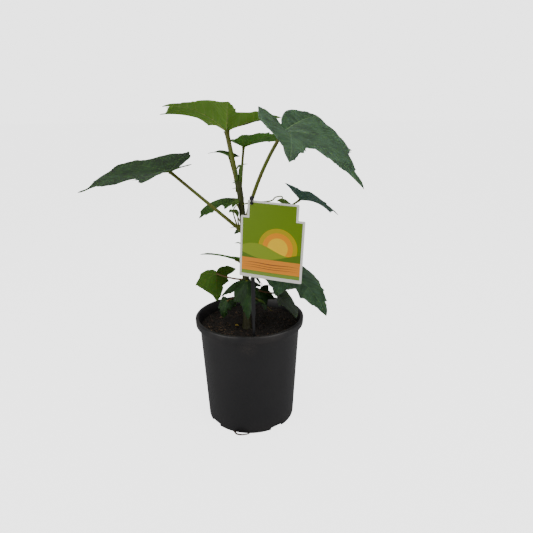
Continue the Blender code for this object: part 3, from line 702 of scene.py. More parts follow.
# ---- young leaves ---------------------------------------------------------------
# The newest leaves stand on the stem's tip, still pleated shut along their ribs, with
# hooked ends. Smaller ones hang curled beside the stem, and spurs mark fallen stalks.
PLEATS = 5
PLEAT_DEEP = 0.30          # share of the radius
LEAF_SKIN = 0.15           # half the thickness of a curled leaf
FOLDED_LEAVES = (          # node it stands for, lean, bearing, length, thick, hook
    ("bud_leaf_1", 3.0, -20, 23.0, 3.3, 5.5), ("bud_leaf_2", 6.0, -110, 17.0, 1.9, 3.0))
CURLED_LEAVES = (          # name, line from its base to its tip, half width, way its face looks
    ("curled_leaf_upper", ((-11, -5, 351), (-16, -8, 350), (-20, -9, 346), (-21.5, -9, 342)),
     4.6, (-0.3, -0.8, 0.5)),
    ("curled_leaf_middle", ((-21, -12, 337), (-24, -12, 338.5), (-26.5, -12, 336)), 2.6,
     (0.2, -0.8, 0.6)),
    ("curled_leaf_knot", ((-20.5, -12, 337), (-17, -12.5, 338), (-14.5, -12, 334),
                          (-14.0, -12, 329)), 3.4, (0.3, -0.9, 0.3)),
    ("curled_leaf_behind_label", ((-9, -9, 287), (-14, -10, 290), (-20, -11, 290)), 1.2,
     (-0.2, -0.7, 0.7)),
    ("curled_leaf_above_label", ((45, -30, 356), (51, -30, 354.5), (58, -30, 351.5),
                                 (65, -30, 349.5)), 4.2, (0.1, -0.9, 0.5)),
)
THREADS = (                # name, line, radius at its start and at its end
    ("thread_left", ((-9.5, -7.5, 309), (-15.5, -11, 318), (-18.5, -12, 328), (-21, -12, 337)),
     1.4, 1.0),
    ("thread_right", ((-9, -8, 310), (-13.5, -10, 320), (-14, -12, 331)), 1.3, 0.9),
    ("thread_above_label", ((-9.5, -3, 346), (8, -20, 352), (30, -29, 355), (37, -30, 357)),
     1.1, 1.0),
    ("thread_loop", ((37, -30, 357), (41, -30, 361), (49, -30, 362), (50.5, -30, 359.5),
                     (46, -30, 357.5), (43, -30, 355.5), (45.5, -30, 356)), 1.0, 0.8),
)
SPURS = (                  # name, base, tip, radius
    ("spur_upper", (-15.5, -2.5, 379), (-21.5, -4, 377.5), 1.5),
    ("spur_upper_side", (-15.5, -2.5, 379), (-20, -4, 381.5), 1.1),
    ("spur_lower", (-13.5, -3, 370.5), (-22, -5, 369.5), 1.1),
    ("spur_right", (-7.5, -2, 355), (-3.5, -3, 357), 0.9),
    ("bract", (-5, 3, 403.5), (2.2, 2, 403.8), 0.8),
)


def curve_line(points, count):
    """count points, evenly spaced along a smooth curve through the points."""
    points = [Vector(point) for point in points]
    ends = [2 * points[0] - points[1], *points, 2 * points[-1] - points[-2]]
    fine = []
    for a, b, c, d in zip(ends, ends[1:], ends[2:], ends[3:]):
        for t in np.linspace(0.0, 1.0, 12, endpoint=False):
            fine.append(0.5 * (2 * b + (c - a) * t + (2 * a - 5 * b + 4 * c - d) * t ** 2
                               + (3 * b - a - 3 * c + d) * t ** 3))
    fine = np.array(fine + [points[-1]])
    run = np.concatenate([[0.0], np.cumsum(np.linalg.norm(np.diff(fine, axis=0), axis=1))])
    even = np.linspace(0.0, run[-1], count)
    return [Vector([np.interp(place, run, fine[:, axis]) for axis in range(3)])
            for place in even]


# New leaf tissue: soft and dull, dark green with yellower patches here and there.
young_skin, tree, shader = finish("young_leaf_skin", Roughness=0.58, IOR=1.38)
place = add(tree, "TexCoord").outputs["Object"]
cloud = add(tree, "TexNoise", {"Vector": place, "Scale": 1 / (3.5 * MM), "Detail": 3.0})
tone = add(tree, "Mix", {0: cloud.outputs["Fac"], 6: linear("2A4416"), 7: linear("5A7A28")},
           data_type="RGBA")
down = add(tree, "TexNoise", {"Vector": place, "Scale": 1 / (0.5 * MM)})
relief = add(tree, "Bump", {"Height": down.outputs["Fac"], "Distance": 0.06 * MM})
tree.links.new(tone.outputs[2], shader.inputs["Base Color"])
tree.links.new(relief.outputs[0], shader.inputs["Normal"])

for node, lean, bearing, length, thick, hook in FOLDED_LEAVES:
    foot = stem_point(STEM_TOP) + direction(bearing, 0.0) * thick - Vector((0.0, 0.0, 1.5))
    axis = direction(bearing, 90.0 - lean) * length
    line = [foot, foot + 0.35 * axis, foot + 0.75 * axis, foot + 0.97 * axis,
            foot + axis + Vector((-0.55 * hook, -0.2 * hook, 0.0)),
            foot + axis + Vector((-hook, -0.3 * hook, -0.9 * hook))]
    shares = np.linspace(0.0, 1.0, 40)
    radii = [thick * (0.45 + 0.55 * min(1.0, t / 0.25)) * (1.0 - t ** 2.2) ** 0.7 + 0.12
             for t in shares]

    def pleats(ring, turn):
        return -PLEAT_DEEP * radii[ring] * abs(math.sin(PLEATS * turn / 2.0 + 0.04 * ring))

    points, faces = tube(curve_line(line, 40), radii, 40, pleats)
    keep(mesh_piece("folded_" + node, points, faces, young_skin), "young_leaf", node)


def curled_leaf(name, line, half, face, material=young_skin, slot="young_leaf"):
    """A small leaf folded along its rib like a trough; its margins come towards its face."""
    line = curve_line(line, 22)
    face = Vector(face).normalized()
    rows = []
    for ring, point in enumerate(line):
        share = ring / (len(line) - 1)
        ahead = (line[min(ring + 1, len(line) - 1)] - line[max(0, ring - 1)]).normalized()
        side = ahead.cross(face).normalized()
        up = side.cross(ahead)
        wide = half * math.sin(math.pi * min(1.0, share ** 0.7 + 0.02)) ** 0.8 + 0.1
        row = []
        for t in np.linspace(-1.0, 1.0, 9):
            lift = 0.55 * wide * abs(t) ** 1.2 + 0.12 * half * math.sin(9.0 * share + 2.0 * t)
            row.append(point + side * wide * t * 0.85 + up * lift)
        rows.append([(corner, up) for corner in row])
    columns = len(rows[0])
    top = [corner + up * LEAF_SKIN for row in rows for corner, up in row]
    under = [corner - up * LEAF_SKIN for row in rows for corner, up in row]
    faces = []
    for ring in range(len(rows) - 1):
        for column in range(columns - 1):
            first = ring * columns + column
            faces.append((first, first + 1, first + columns + 1, first + columns))
    total = len(top)
    edges = {(face[k - 1], face[k]) for face in faces for k in range(4)}
    rim = [(a, b) for a, b in edges if (b, a) not in edges]
    faces = faces + [tuple(corner + total for corner in reversed(face)) for face in faces]
    faces += [(b, a, a + total, b + total) for a, b in sorted(rim)]
    return keep(mesh_piece(name, top + under, faces, material), slot)


for name, line, half, face in CURLED_LEAVES:
    curled_leaf(name, line, half, face)
for name, line, first, last in THREADS:
    points, faces = tube(curve_line(line, 30), np.linspace(first, last, 30), 10)
    keep(mesh_piece(name, points, faces, GREEN_STALK), "leaf_stalk")
for name, base, tip, radius in SPURS:
    base, tip = Vector(base), Vector(tip)
    line = curve_line((base, base.lerp(tip, 0.6) + Vector((0, 0, 0.3)), tip), 14)
    points, faces = tube(line, [radius * (1.02 - t) ** 0.8 for t in np.linspace(0, 1, 14)], 10)
    keep(mesh_piece(name, points, faces, young_skin), "young_leaf")

# An old leaf stalk, yellowed and thin as string, that ends in the scrap of its blade.
dry_stalk, tree, shader = finish("yellowed_stalk_skin", Roughness=0.62, IOR=1.40)
place = add(tree, "TexCoord").outputs["Object"]
cloud = add(tree, "TexNoise", {"Vector": place, "Scale": 1 / (5 * MM), "Detail": 4.0})
tone = add(tree, "Mix", {0: cloud.outputs["Fac"], 6: linear("6E6A30"), 7: linear("4A3A20")},
           data_type="RGBA")
relief = add(tree, "Bump", {"Height": cloud.outputs["Fac"], "Distance": 0.2 * MM})
tree.links.new(tone.outputs[2], shader.inputs["Base Color"])
tree.links.new(relief.outputs[0], shader.inputs["Normal"])
points, faces = tube(curve_line(((-2, -13, 203), (5, -16, 205), (13, -15, 202), (24, -6, 190),
                                 (35, 0, 176)), 40), np.linspace(1.3, 0.7, 40), 12)
keep(mesh_piece("old_stalk", points, faces, dry_stalk), "leaf_stalk")
curled_leaf("old_blade", ((13, -15, 201), (19, -16, 199), (25, -16, 195)), 2.2,
            (0.1, -0.8, 0.6))


# ---- fallen bits ----------------------------------------------------------------
# A yellow scrap of a dead leaf lies on the mix, and a brown root fibre, washed out of the
# pot, lies curled against its foot.
SCRAP_LINE = ((-22.5, -13.0), (-19.6, -12.0), (-16.8, -13.2))      # across, deep
SCRAP_LIFT = 1.6
FIBRE_LINE = ((-25.0, -64.6, 1.6), (-21.0, -71.4, 1.6), (-14.0, -73.6, 1.5),
              (-7.0, -72.6, 1.3), (-2.5, -71.0, 1.2), (-1.0, -69.2, 1.4))

# Dead leaf tissue: dry and matt, ochre with browner patches.
dead_leaf, tree, shader = finish("dead_leaf", Roughness=0.6)
place = add(tree, "TexCoord").outputs["Object"]
cloud = add(tree, "TexNoise", {"Vector": place, "Scale": 1 / (2 * MM), "Detail": 3.0})
tone = add(tree, "Mix", {0: cloud.outputs["Fac"], 6: linear("B0932C"), 7: linear("7A6424")},
           data_type="RGBA")
tree.links.new(tone.outputs[2], shader.inputs["Base Color"])
scrap = [(across, deep, bed_height(across, deep) + SCRAP_LIFT) for across, deep in SCRAP_LINE]
curled_leaf("fallen_scrap", scrap, 1.6, (0.1, -0.4, 0.9), dead_leaf, "potting_mix")

# Dry root: a rough brown skin, darker in places.
root_skin, tree, shader = finish("dry_root_fibre", Roughness=0.7)
place = add(tree, "TexCoord").outputs["Object"]
cloud = add(tree, "TexNoise", {"Vector": place, "Scale": 1 / (3 * MM), "Detail": 3.0})
tone = add(tree, "Mix", {0: cloud.outputs["Fac"], 6: linear("4A3824"), 7: linear("2E2218")},
           data_type="RGBA")
tree.links.new(tone.outputs[2], shader.inputs["Base Color"])
points, faces = tube(curve_line(FIBRE_LINE, 40), np.linspace(1.5, 0.9, 40), 10)
keep(mesh_piece("root_fibre", points, faces, root_skin), "potting_mix")


# ---- leaf blades ----------------------------------------------------------------
# Each blade has five lobes round the stalk's joint: one ahead, two mid and two basal.
# Every lobe has its own rib, and side veins that run out to small teeth on the margin;
# the tissue swells a little between them. A form gives, from the right side round to the
# left, every lobe's angle from the main one and its share of that one's length; how far
# out each bay between two lobes lies, as a share of their mean length; and the breadth.
# All forms but open and slim come from the same numerical fit as the leaves above.
FORMS = {
    "open": dict(lobes=((-100, 0.62), (-51, 0.86), (0, 1.00), (51, 0.86), (100, 0.62)),
                 bays=(0.62, 0.62, 0.62, 0.62), breadth=1.30),
    "slim": dict(lobes=((-105, 0.55), (-46, 0.90), (0, 1.00), (46, 0.90), (105, 0.55)),
                 bays=(0.62, 0.62, 0.62, 0.62), breadth=1.25),
    "broad": dict(lobes=((-119, 0.37), (-48, 0.89), (0, 1.00), (49, 0.71), (101, 0.65)),
                  bays=(0.92, 0.59, 0.75, 0.92), breadth=1.10),
    "cupped": dict(lobes=((-100, 0.67), (-40, 0.93), (0, 1.00), (52, 0.62), (125, 0.76)),
                   bays=(0.92, 0.82, 0.69, 0.46), breadth=1.05),
    "long": dict(lobes=((-128, 0.57), (-53, 0.80), (0, 1.00), (64, 0.93), (111, 0.48)),
                 bays=(0.75, 0.92, 0.51, 0.46), breadth=1.30),
    "arched": dict(lobes=((-96, 0.56), (-52, 0.89), (0, 1.00), (51, 0.88), (92, 0.83)),
                   bays=(0.61, 0.89, 0.87, 0.57), breadth=1.05),
    "tiny": dict(lobes=((-122, 0.78), (-44, 0.87), (0, 1.00), (50, 0.82), (99, 0.62)),
                 bays=(0.59, 0.78, 0.71, 0.40), breadth=1.00),
    "narrow": dict(lobes=((-90, 0.38), (-40, 0.74), (0, 1.00), (39, 0.84), (90, 0.41)),
                   bays=(0.60, 0.62, 0.77, 0.50), breadth=1.65),
    "star": dict(lobes=((-119, 0.71), (-40, 0.99), (0, 1.00), (44, 0.97), (100, 0.63)),
                 bays=(0.44, 0.47, 0.88, 0.49), breadth=1.35),
    "stout": dict(lobes=((-95, 0.52), (-46, 0.85), (0, 1.00), (48, 0.81), (97, 0.63)),
                  bays=(0.73, 0.69, 0.61, 0.68), breadth=1.60),
    "drooping": dict(lobes=((-108, 0.61), (-55, 0.67), (0, 1.00), (54, 0.59), (102, 0.66)),
                     bays=(0.74, 0.61, 0.77, 0.86), breadth=1.70),
    "round": dict(lobes=((-92, 0.76), (-50, 0.61), (0, 1.00), (62, 0.81), (91, 0.54)),
                  bays=(0.67, 0.66, 0.78, 0.89), breadth=1.50),
    "folded": dict(lobes=((-87, 0.41), (-54, 0.78), (0, 1.00), (49, 0.97), (95, 0.44)),
                   bays=(0.91, 0.68, 0.91, 0.92), breadth=1.55),
    "tongue": dict(lobes=((-91, 0.81), (-41, 0.63), (0, 1.00), (44, 0.56), (109, 0.54)),
                   bays=(0.57, 0.73, 0.50, 0.50), breadth=1.30),
    "oak": dict(lobes=((-105, 0.76), (-52, 0.81), (0, 1.00), (43, 0.51), (100, 0.85)),
                bays=(0.55, 0.63, 0.47, 0.63), breadth=1.55),
}
LOBE_SIDE = ((0.50, 0.185), (0.62, 0.170), (0.64, 0.140), (0.78, 0.105), (0.80, 0.080),
             (0.90, 0.052), (0.965, 0.022))
SMALL_LOBE_SIDE = ((0.56, 0.175), (0.78, 0.100), (0.93, 0.042))
SMALL_LEAF = 50.0
BASE_NOTCH = 0.07
EAR = ((0.34, 0.50), (0.55, 0.36), (0.80, 0.20))
LOBE_ROOM = 0.94           # a lobe fills at most this share of the angle to its bay
OUTER_ROOM = 80.0          # and this angle on the side of the cleft
BAY_CLEAR = 1.03           # its side starts this much further out than the bay
RIB_OF_BAY = 0.24          # how far up its rib a lobe is when its side vein ends in the bay
BAY_SHARE = 0.25           # share of a lobe's side veins that end on the fold to the bay
ROWS_PER_VEIN = 6
VEIN_SPACING = 13.0        # millimetres between side veins on a full-grown lobe
COLUMNS = 12
LOBULE = 0.026             # the largest point on the margin, as a share of the length
LOBULE_SHAPE = ((-3, 0.04), (-2, 0.16), (-1, 0.48), (0, 1.00), (1, 0.20))   # rows, share
VEIN_BOW = 0.07            # how far the side veins bow, as a share of their own length
# Shares of the leaf's length:
QUILT = 0.0032             # the tissue's swelling between two veins
RUFFLE = 0.018             # the margin's waves, at most
RIB_DENT = 0.0030          # depth of the rib's hollow in the upper face
RIB_WIDTH = 0.0055         # half width of a lobe's rib at the joint
VEIN_WIDTH = 0.0014
MARGIN_THICK = 0.6         # share of the blade's thickness left at its margin


def polar(angle, share):
    """A flat point at an angle from the main lobe and a share of its length from the joint."""
    return share * math.cos(math.radians(angle)), share * math.sin(math.radians(angle))


def smooth_line(corners, count):
    """count points, evenly spaced along a curve through the corners."""
    corners = np.array(corners, float)
    ends = np.vstack([2 * corners[0] - corners[1], corners, 2 * corners[-1] - corners[-2]])
    t = np.linspace(0.0, 1.0, 12, endpoint=False)[:, None]
    fine = []
    for a, b, c, d in zip(ends, ends[1:], ends[2:], ends[3:]):
        fine.append(0.5 * (2 * b + (c - a) * t + (2 * a - 5 * b + 4 * c - d) * t ** 2
                           + (3 * b - a - 3 * c + d) * t ** 3))
    fine = np.vstack(fine + [corners[-1:]])
    run = np.concatenate([[0.0], np.cumsum(np.linalg.norm(np.diff(fine, axis=0), axis=1))])
    even = np.linspace(0.0, run[-1], count)
    return np.stack([np.interp(even, run, fine[:, 0]), np.interp(even, run, fine[:, 1])], 1)


def half_lobe(leaf, number, side, rows, chance):
    """Ends of a half lobe's rows: on its rib, and on the fold to the bay or on the margin."""
    form = FORMS[leaf["form"]]
    grown = leaf["length"] >= SMALL_LEAF
    profile = LOBE_SIDE if grown else SMALL_LOBE_SIDE
    angle, share = form["lobes"][number]
    bay_row = int(rows * BAY_SHARE)
    outer = not 0 <= number + side < len(form["lobes"])
    if outer:
        gap = math.copysign(180.0, angle) - angle
        corners = [(-BASE_NOTCH, 0.0)]
        corners += [polar(angle + gap * turn, share * out) for turn, out in reversed(EAR)]
        room, bay_reach, margin_rows = OUTER_ROOM, 0.0, rows + 1
        profile = profile[2:] if grown else profile
    else:
        next_angle, next_share = form["lobes"][number + side]
        bay_reach = form["bays"][min(number, number + side)] * (share + next_share) / 2.0
        bay = polar((angle + next_angle) / 2.0, bay_reach)
        corners, room = [bay], LOBE_ROOM * abs(next_angle - angle) / 2.0
        margin_rows = rows + 1 - bay_row
    for along, across in profile:
        across *= form["breadth"]
        beside = min(room, math.degrees(math.atan2(across, along)))
        reach = math.hypot(along, across) * share
        if reach > bay_reach * BAY_CLEAR:
            corners.append(polar(angle + side * beside, reach))
    corners.append(polar(angle, share))
    margin = smooth_line(corners, margin_rows)
    if not outer:
        fold = np.linspace(0.0, 1.0, bay_row + 1)[:-1, None] * np.array(bay)
        margin = np.vstack([fold, margin])
    up_rib = np.concatenate([
        np.linspace(0.0, RIB_OF_BAY, bay_row + 1)[:-1],
        RIB_OF_BAY + (1 - RIB_OF_BAY) * np.linspace(0.0, 1.0, rows + 1 - bay_row) ** 0.94])
    rib = up_rib[:, None] * np.array(polar(angle, share))
    grow = np.clip((np.arange(rows + 1) - (0 if outer else bay_row)) / (rows - bay_row), 0, 1)
    point = np.zeros(rows + 1)
    for vein_row in range(bay_row + 2 * ROWS_PER_VEIN, rows - 2, ROWS_PER_VEIN):
        size = (LOBULE * leaf.get("ragged", 1.0) * chance.random() ** 2 * share
                * (1.0 - grow[vein_row]) ** 0.5)
        for row, part in LOBULE_SHAPE:
            point[vein_row + row] += size * part
    reach = margin - rib
    long = np.maximum(np.linalg.norm(reach, axis=1, keepdims=True), 1e-6)
    onward = 0.6 * np.array(polar(angle, 1.0))
    margin = margin + (reach / long + onward) * point[:, None]
    return rib, margin, up_rib, grow, outer


def bent(leaf, flat, relief):
    """Flat points, in shares of the leaf's length, on the blade's arched and folded form."""
    reach = np.maximum(np.linalg.norm(flat, axis=1), 1e-9)
    angle = np.arctan2(flat[:, 1], flat[:, 0])
    sideways = np.sin(angle) ** 2
    climb = np.radians(leaf.get("cup", 0) + leaf.get("wing", 0) * sideways)
    droop = np.radians(leaf["droop"] + leaf.get("side_droop", 0) * sideways)
    droop = np.where(np.abs(droop) < 0.001, 0.001, droop)
    slope = climb - droop * reach
    out = (np.sin(climb) - np.sin(slope)) / droop
    up = (np.cos(slope) - np.cos(climb)) / droop
    from_vein = np.min([np.abs(angle - math.radians(lobe))
                        for lobe, _ in FORMS[leaf["form"]]["lobes"]], axis=0)
    fold = math.radians(leaf.get("fold", 0))
    up = up + math.sin(fold) * reach * np.sin(np.minimum(from_vein, math.radians(60.0)))
    out = out - relief * np.sin(slope)
    up = up + relief * np.cos(slope)
    return np.stack([out * np.cos(angle), out * np.sin(angle), up], 1)


def blade(name, leaf, material, seed):
    """One closed blade: an upper face, an under face with raised ribs, and the thin margin."""
    size = leaf["length"]
    veins = max(4, round(size / VEIN_SPACING))
    rows = ROWS_PER_VEIN * veins
    columns = COLUMNS if size >= SMALL_LEAF else COLUMNS // 2 + 1
    chance = np.random.default_rng(seed)
    across = np.linspace(0.0, 1.0, columns + 1) ** 1.25
    flats, reliefs, gaps, edges, quads = [], [], [], [], []
    count = 0
    for number, (angle, share) in enumerate(FORMS[leaf["form"]]["lobes"]):
        ahead = np.array(polar(angle, share))
        for side in (-1, 1):
            rib, margin, up_rib, grow, outer = half_lobe(leaf, number, side, rows, chance)
            reach = margin - rib
            long = np.linalg.norm(reach, axis=1)[:, None]
            spread = (across * (1 - across))[None, :]
            flat = rib[:, None] + reach[:, None] * across[None, :, None]
            flat = flat - ahead * (VEIN_BOW * 4.0 * spread * long)[..., None]
            row = np.arange(rows + 1)
            off_vein = np.abs((row + ROWS_PER_VEIN / 2) % ROWS_PER_VEIN - ROWS_PER_VEIN / 2)
            phase = off_vein / (ROWS_PER_VEIN / 2)
            pitch = np.linalg.norm(np.gradient(flat, axis=0), axis=2)
            vein_gap = (off_vein[:, None] * pitch
                        - VEIN_WIDTH * (1.0 - 0.6 * across[None, :])) * size
            rib_gap = (across[None, :] * long
                       - (RIB_WIDTH * (1.0 - 0.85 * up_rib))[:, None]) * size
            quilt = QUILT * np.sin(phase * math.pi / 2)[:, None] * np.sqrt(4 * spread)
            wave = chance.uniform(0.0, 6.28)
            ruffle = RUFFLE * leaf.get("wavy", 1.0) * chance.uniform(0.4, 1.0) \
                * grow[:, None] * across[None, :] ** 2 \
                * np.sin(wave + grow[:, None] * chance.uniform(5.0, 9.0)) \
                * (1 - grow[:, None] ** 3) * share
            dent = -RIB_DENT * np.exp(-(across[None, :] * long / (RIB_WIDTH * 1.2)) ** 2) \
                * (1.0 - 0.7 * up_rib)[:, None]
            flats.append(flat.reshape(-1, 2))
            reliefs.append((quilt + ruffle + dent).ravel())
            gaps.append(np.minimum(vein_gap, rib_gap).ravel())
            edges.append((across[None, :] * (grow[:, None] > 0)).ravel())
            start = count + np.arange(rows)[:, None] * (columns + 1) + np.arange(columns)
            quad = np.stack([start, start + columns + 1, start + columns + 2, start + 1], -1)
            quads.append(quad.reshape(-1, 4)[:, ::1 if side > 0 else -1])
            count += (rows + 1) * (columns + 1)
    flats, reliefs, gaps = np.vstack(flats), np.concatenate(reliefs), np.concatenate(gaps)
    edges, quads = np.concatenate(edges), np.vstack(quads)
    _, first, same = np.unique(np.round(flats, 6), axis=0, return_index=True,
                               return_inverse=True)
    same = same.ravel()
    flats, reliefs, gaps, edges = flats[first], reliefs[first], gaps[first], edges[first]
    faces = []
    for quad in same[quads].tolist():
        face = [corner for place, corner in enumerate(quad) if corner != quad[place - 1]]
        if len(face) > 2:
            faces.append(face)

    thick = BLADE_THICK / size * (1.0 - (1.0 - MARGIN_THICK) * edges ** 6)
    ridge = 0.9 * RIB_WIDTH * np.clip(-gaps / (RIB_WIDTH * size), 0.0, 1.0)
    top = bent(leaf, flats, reliefs + thick / 2)
    under = bent(leaf, flats, reliefs - thick / 2 - ridge)
    axes = np.array(blade_axes(leaf))
    points = np.vstack([top, under]) @ axes * size + np.array(joint(leaf))
    total = len(flats)
    sides = {}
    for face in faces:
        for place, corner in enumerate(face):
            sides[(face[place - 1], corner)] = True
    rim = [(a, b) for a, b in sides if (b, a) not in sides]
    faces = faces + [[corner + total for corner in reversed(face)] for face in faces]
    faces += [[b, a, a + total, b + total] for a, b in rim]
    piece = mesh_piece(name, points, faces, material)
    mesh = piece.data
    for label, values in (("vein_gap", np.tile(gaps, 2)),
                          ("under", np.repeat([0.0, 1.0], total)),
                          ("edge", np.tile(edges, 2))):
        mesh.attributes.new(label, "FLOAT", "POINT").data.foreach_set("value", values)
    chart = mesh.uv_layers.new(name="blade")
    corner_of = np.zeros(len(mesh.loops), int)
    mesh.loops.foreach_get("vertex_index", corner_of)
    flat_mm = np.tile(flats, (2, 1)) * size * MM
    chart.data.foreach_set("uv", flat_mm[corner_of].ravel())
    return piece


THIN_LEAF = 0.7            # share of the light that enters the tissue and may pass through
THIN_DEPTH = 0.6 * MM      # how deep it goes


def leaf_finish(name, top, top_dark, under, vein, under_vein, gloss, sheen):
    """Living leaf: a waxy upper face with sunken pale veins over a duller, paler under face.

    The finest net of veins is about two millimetres across, drawn as pale lines.
    """
    made, tree, shader = finish(name, IOR=1.45, Specular_IOR_Level=sheen,
                                Subsurface_Weight=THIN_LEAF, Subsurface_Scale=THIN_DEPTH,
                                Subsurface_Radius=(0.9, 1.0, 0.3))
    place = add(tree, "TexCoord").outputs["Object"]
    chart = add(tree, "UVMap", uv_map="blade").outputs[0]
    cloud = add(tree, "TexNoise", {"Vector": place, "Scale": 1 / (16 * MM), "Detail": 4.0})
    net = add(tree, "TexVoronoi", {"Vector": chart, "Scale": 1 / (2.6 * MM)},
              feature="DISTANCE_TO_EDGE")
    line = add(tree, "MapRange", {"Value": net.outputs["Distance"], "From Max": 0.10,
                                  "To Min": 0.12, "To Max": 0.0})
    is_under = add(tree, "Attribute", attribute_name="under").outputs["Fac"]
    gap = add(tree, "Attribute", attribute_name="vein_gap").outputs["Fac"]
    on_vein = add(tree, "MapRange", {"Value": gap, "From Min": -0.45, "From Max": 0.25,
                                     "To Min": 0.95, "To Max": 0.0})
    cloud_share = add(tree, "MapRange", {"Value": cloud.outputs["Fac"], "From Min": 0.35,
                                         "From Max": 0.65})
    upper = add(tree, "Mix", {0: cloud_share.outputs[0], 6: linear(top_dark),
                              7: linear(top)}, data_type="RGBA")
    tissue = add(tree, "Mix", {0: is_under, 6: upper.outputs[2], 7: linear(under)},
                 data_type="RGBA")
    pale = add(tree, "Mix", {0: is_under, 6: linear(vein), 7: linear(under_vein)},
               data_type="RGBA")
    netted = add(tree, "Mix", {0: line.outputs[0], 6: tissue.outputs[2], 7: pale.outputs[2]},
                 data_type="RGBA")
    veined = add(tree, "Mix", {0: on_vein.outputs[0], 6: netted.outputs[2],
                               7: pale.outputs[2]}, data_type="RGBA")
    rough = add(tree, "MapRange", {"Value": is_under, "To Min": gloss, "To Max": 0.62})
    relief = add(tree, "Bump", {"Height": net.outputs["Distance"], "Distance": 0.10 * MM,
                                "Strength": 0.6})
    tree.links.new(veined.outputs[2], shader.inputs["Base Color"])
    tree.links.new(rough.outputs[0], shader.inputs["Roughness"])
    tree.links.new(relief.outputs[0], shader.inputs["Normal"])
    return made


# Older leaves are blue-green and glossy. The deep-green ones are darkened further for the
# shade they lie in: painted shade over their own deep green. Younger ones are a soft,
# clearer green. One low leaf is olive with reddish veins below and one has gone dull. One
# lit leaf is paler and greyer than its own green: painted light and sheen. The leaf with
# the light behind it and the little shoot glow yellow-green through their thin tissue, and
# their under faces are painted paler and brighter as well: painted light shining through.
LEAF_FINISHES = {
    "glossy": leaf_finish("glossy_leaf", "38583A", "1F3E22", "3F5F2A", "62804E", "6E7A3C", 0.46,
                          0.42),
    # deep: a deep green darkened further for leaves that lie in shade, painted shade
    "deep": leaf_finish("deep_green_leaf_painted_shade", "23421D", "193014", "3D5A24", "4C6636", "66703A",
                        0.44, 0.25),
    "soft": leaf_finish("soft_green_leaf", "426C22", "325616", "508A26", "5C7038", "76703A",
                        0.52, 0.3),
    "olive": leaf_finish("olive_leaf", "3A5420", "2C4214", "4E7A22", "6C6A34", "8A6A40", 0.50, 0.3),
    # a pale, greyish green for a leaf the light falls on: painted light and sheen
    "painted_light_pale": leaf_finish("pale_leaf_painted_light", "48643C", "34502C", "48685A", "64804C", "6E8068", 0.48, 0.4),
    "dull": leaf_finish("dull_leaf", "3E5038", "2A3A26", "46603A", "566A44", "66704A", 0.50, 0.3),
    # under face and under veins painted pale and bright: painted light shining through, added to the
    # subsurface light
    "lit": leaf_finish("lit_leaf_painted_glow", "3B5A24", "30501C", "73A03C", "5C7038", "BEBC78", 0.50, 0.3),
}
for number, (place_name, leaf) in enumerate(LEAVES.items()):
    piece = blade("leaf_" + place_name, leaf, LEAF_FINISHES[leaf["finish"]], 100 + number)
    keep(piece, "leaf_blade_light" if leaf["finish"] == "lit" else "leaf_blade",
         "blade_" + place_name)


# ---- plant label ----------------------------------------------------------------
# A varnished card with shoulders, cut to shape, that hangs by its hole from the hook of a
# black strip pushed into the soil. Its print is a plain sunrise over hills, with no words.
CARD_PLACE = (8.5, -77.0, 361.0)
CARD_TURN = 18.0
CARD_SAG = 3.0
CARD_HANG = (14.5, 102.0)          # the hole, from the card's lower left corner
CARD_HALF = 0.4                    # half its thickness
CARD_BOW = 0.9                     # how far its middle stands in front of its sides
CARD_WIDTH = 88.0
CARD_HEIGHT = 106.0
CARD_HEAD = 21.0
CARD_SHOULDER = 9.0
HOLE_RADIUS = 2.4
INK = 0.02                         # thickness of one printed layer
BORDER = (3.0, 4.6, 3.0, 2.6)      # white left at the left, bottom, right and top


def card_outline(left, bottom, right, top, corner):
    """The card's outline drawn in by the four margins, its corners rounded."""
    head = CARD_HEIGHT - CARD_HEAD
    sharp = ((left, bottom), (CARD_WIDTH - right, bottom), (CARD_WIDTH - right, head - top),
             (CARD_WIDTH - CARD_SHOULDER - right, head - top),
             (CARD_WIDTH - CARD_SHOULDER - right, CARD_HEIGHT - top),
             (CARD_SHOULDER + left, CARD_HEIGHT - top), (CARD_SHOULDER + left, head - top),
             (left, head - top))
    outline = []
    for number, here in enumerate(sharp):
        here = Vector(here)
        before = (Vector(sharp[number - 1]) - here).normalized() * corner
        after = (Vector(sharp[(number + 1) % len(sharp)]) - here).normalized() * corner
        for t in np.linspace(0.0, 1.0, 5):
            outline.append(here + before * (1 - t) ** 2 + after * t ** 2)
    return outline


def disc(centre, radius, count):
    """count points round a circle."""
    turns = np.radians(np.linspace(0.0, 360.0, count, endpoint=False))
    return [Vector((centre[0] + radius * math.cos(turn), centre[1] + radius * math.sin(turn)))
            for turn in turns]


hang = Matrix.Translation(CARD_PLACE) @ Matrix.Rotation(math.radians(-CARD_TURN), 4, "Z") \
    @ Matrix.Rotation(math.radians(90.0), 4, "X") \
    @ Matrix.Rotation(math.radians(-CARD_SAG), 4, "Z")


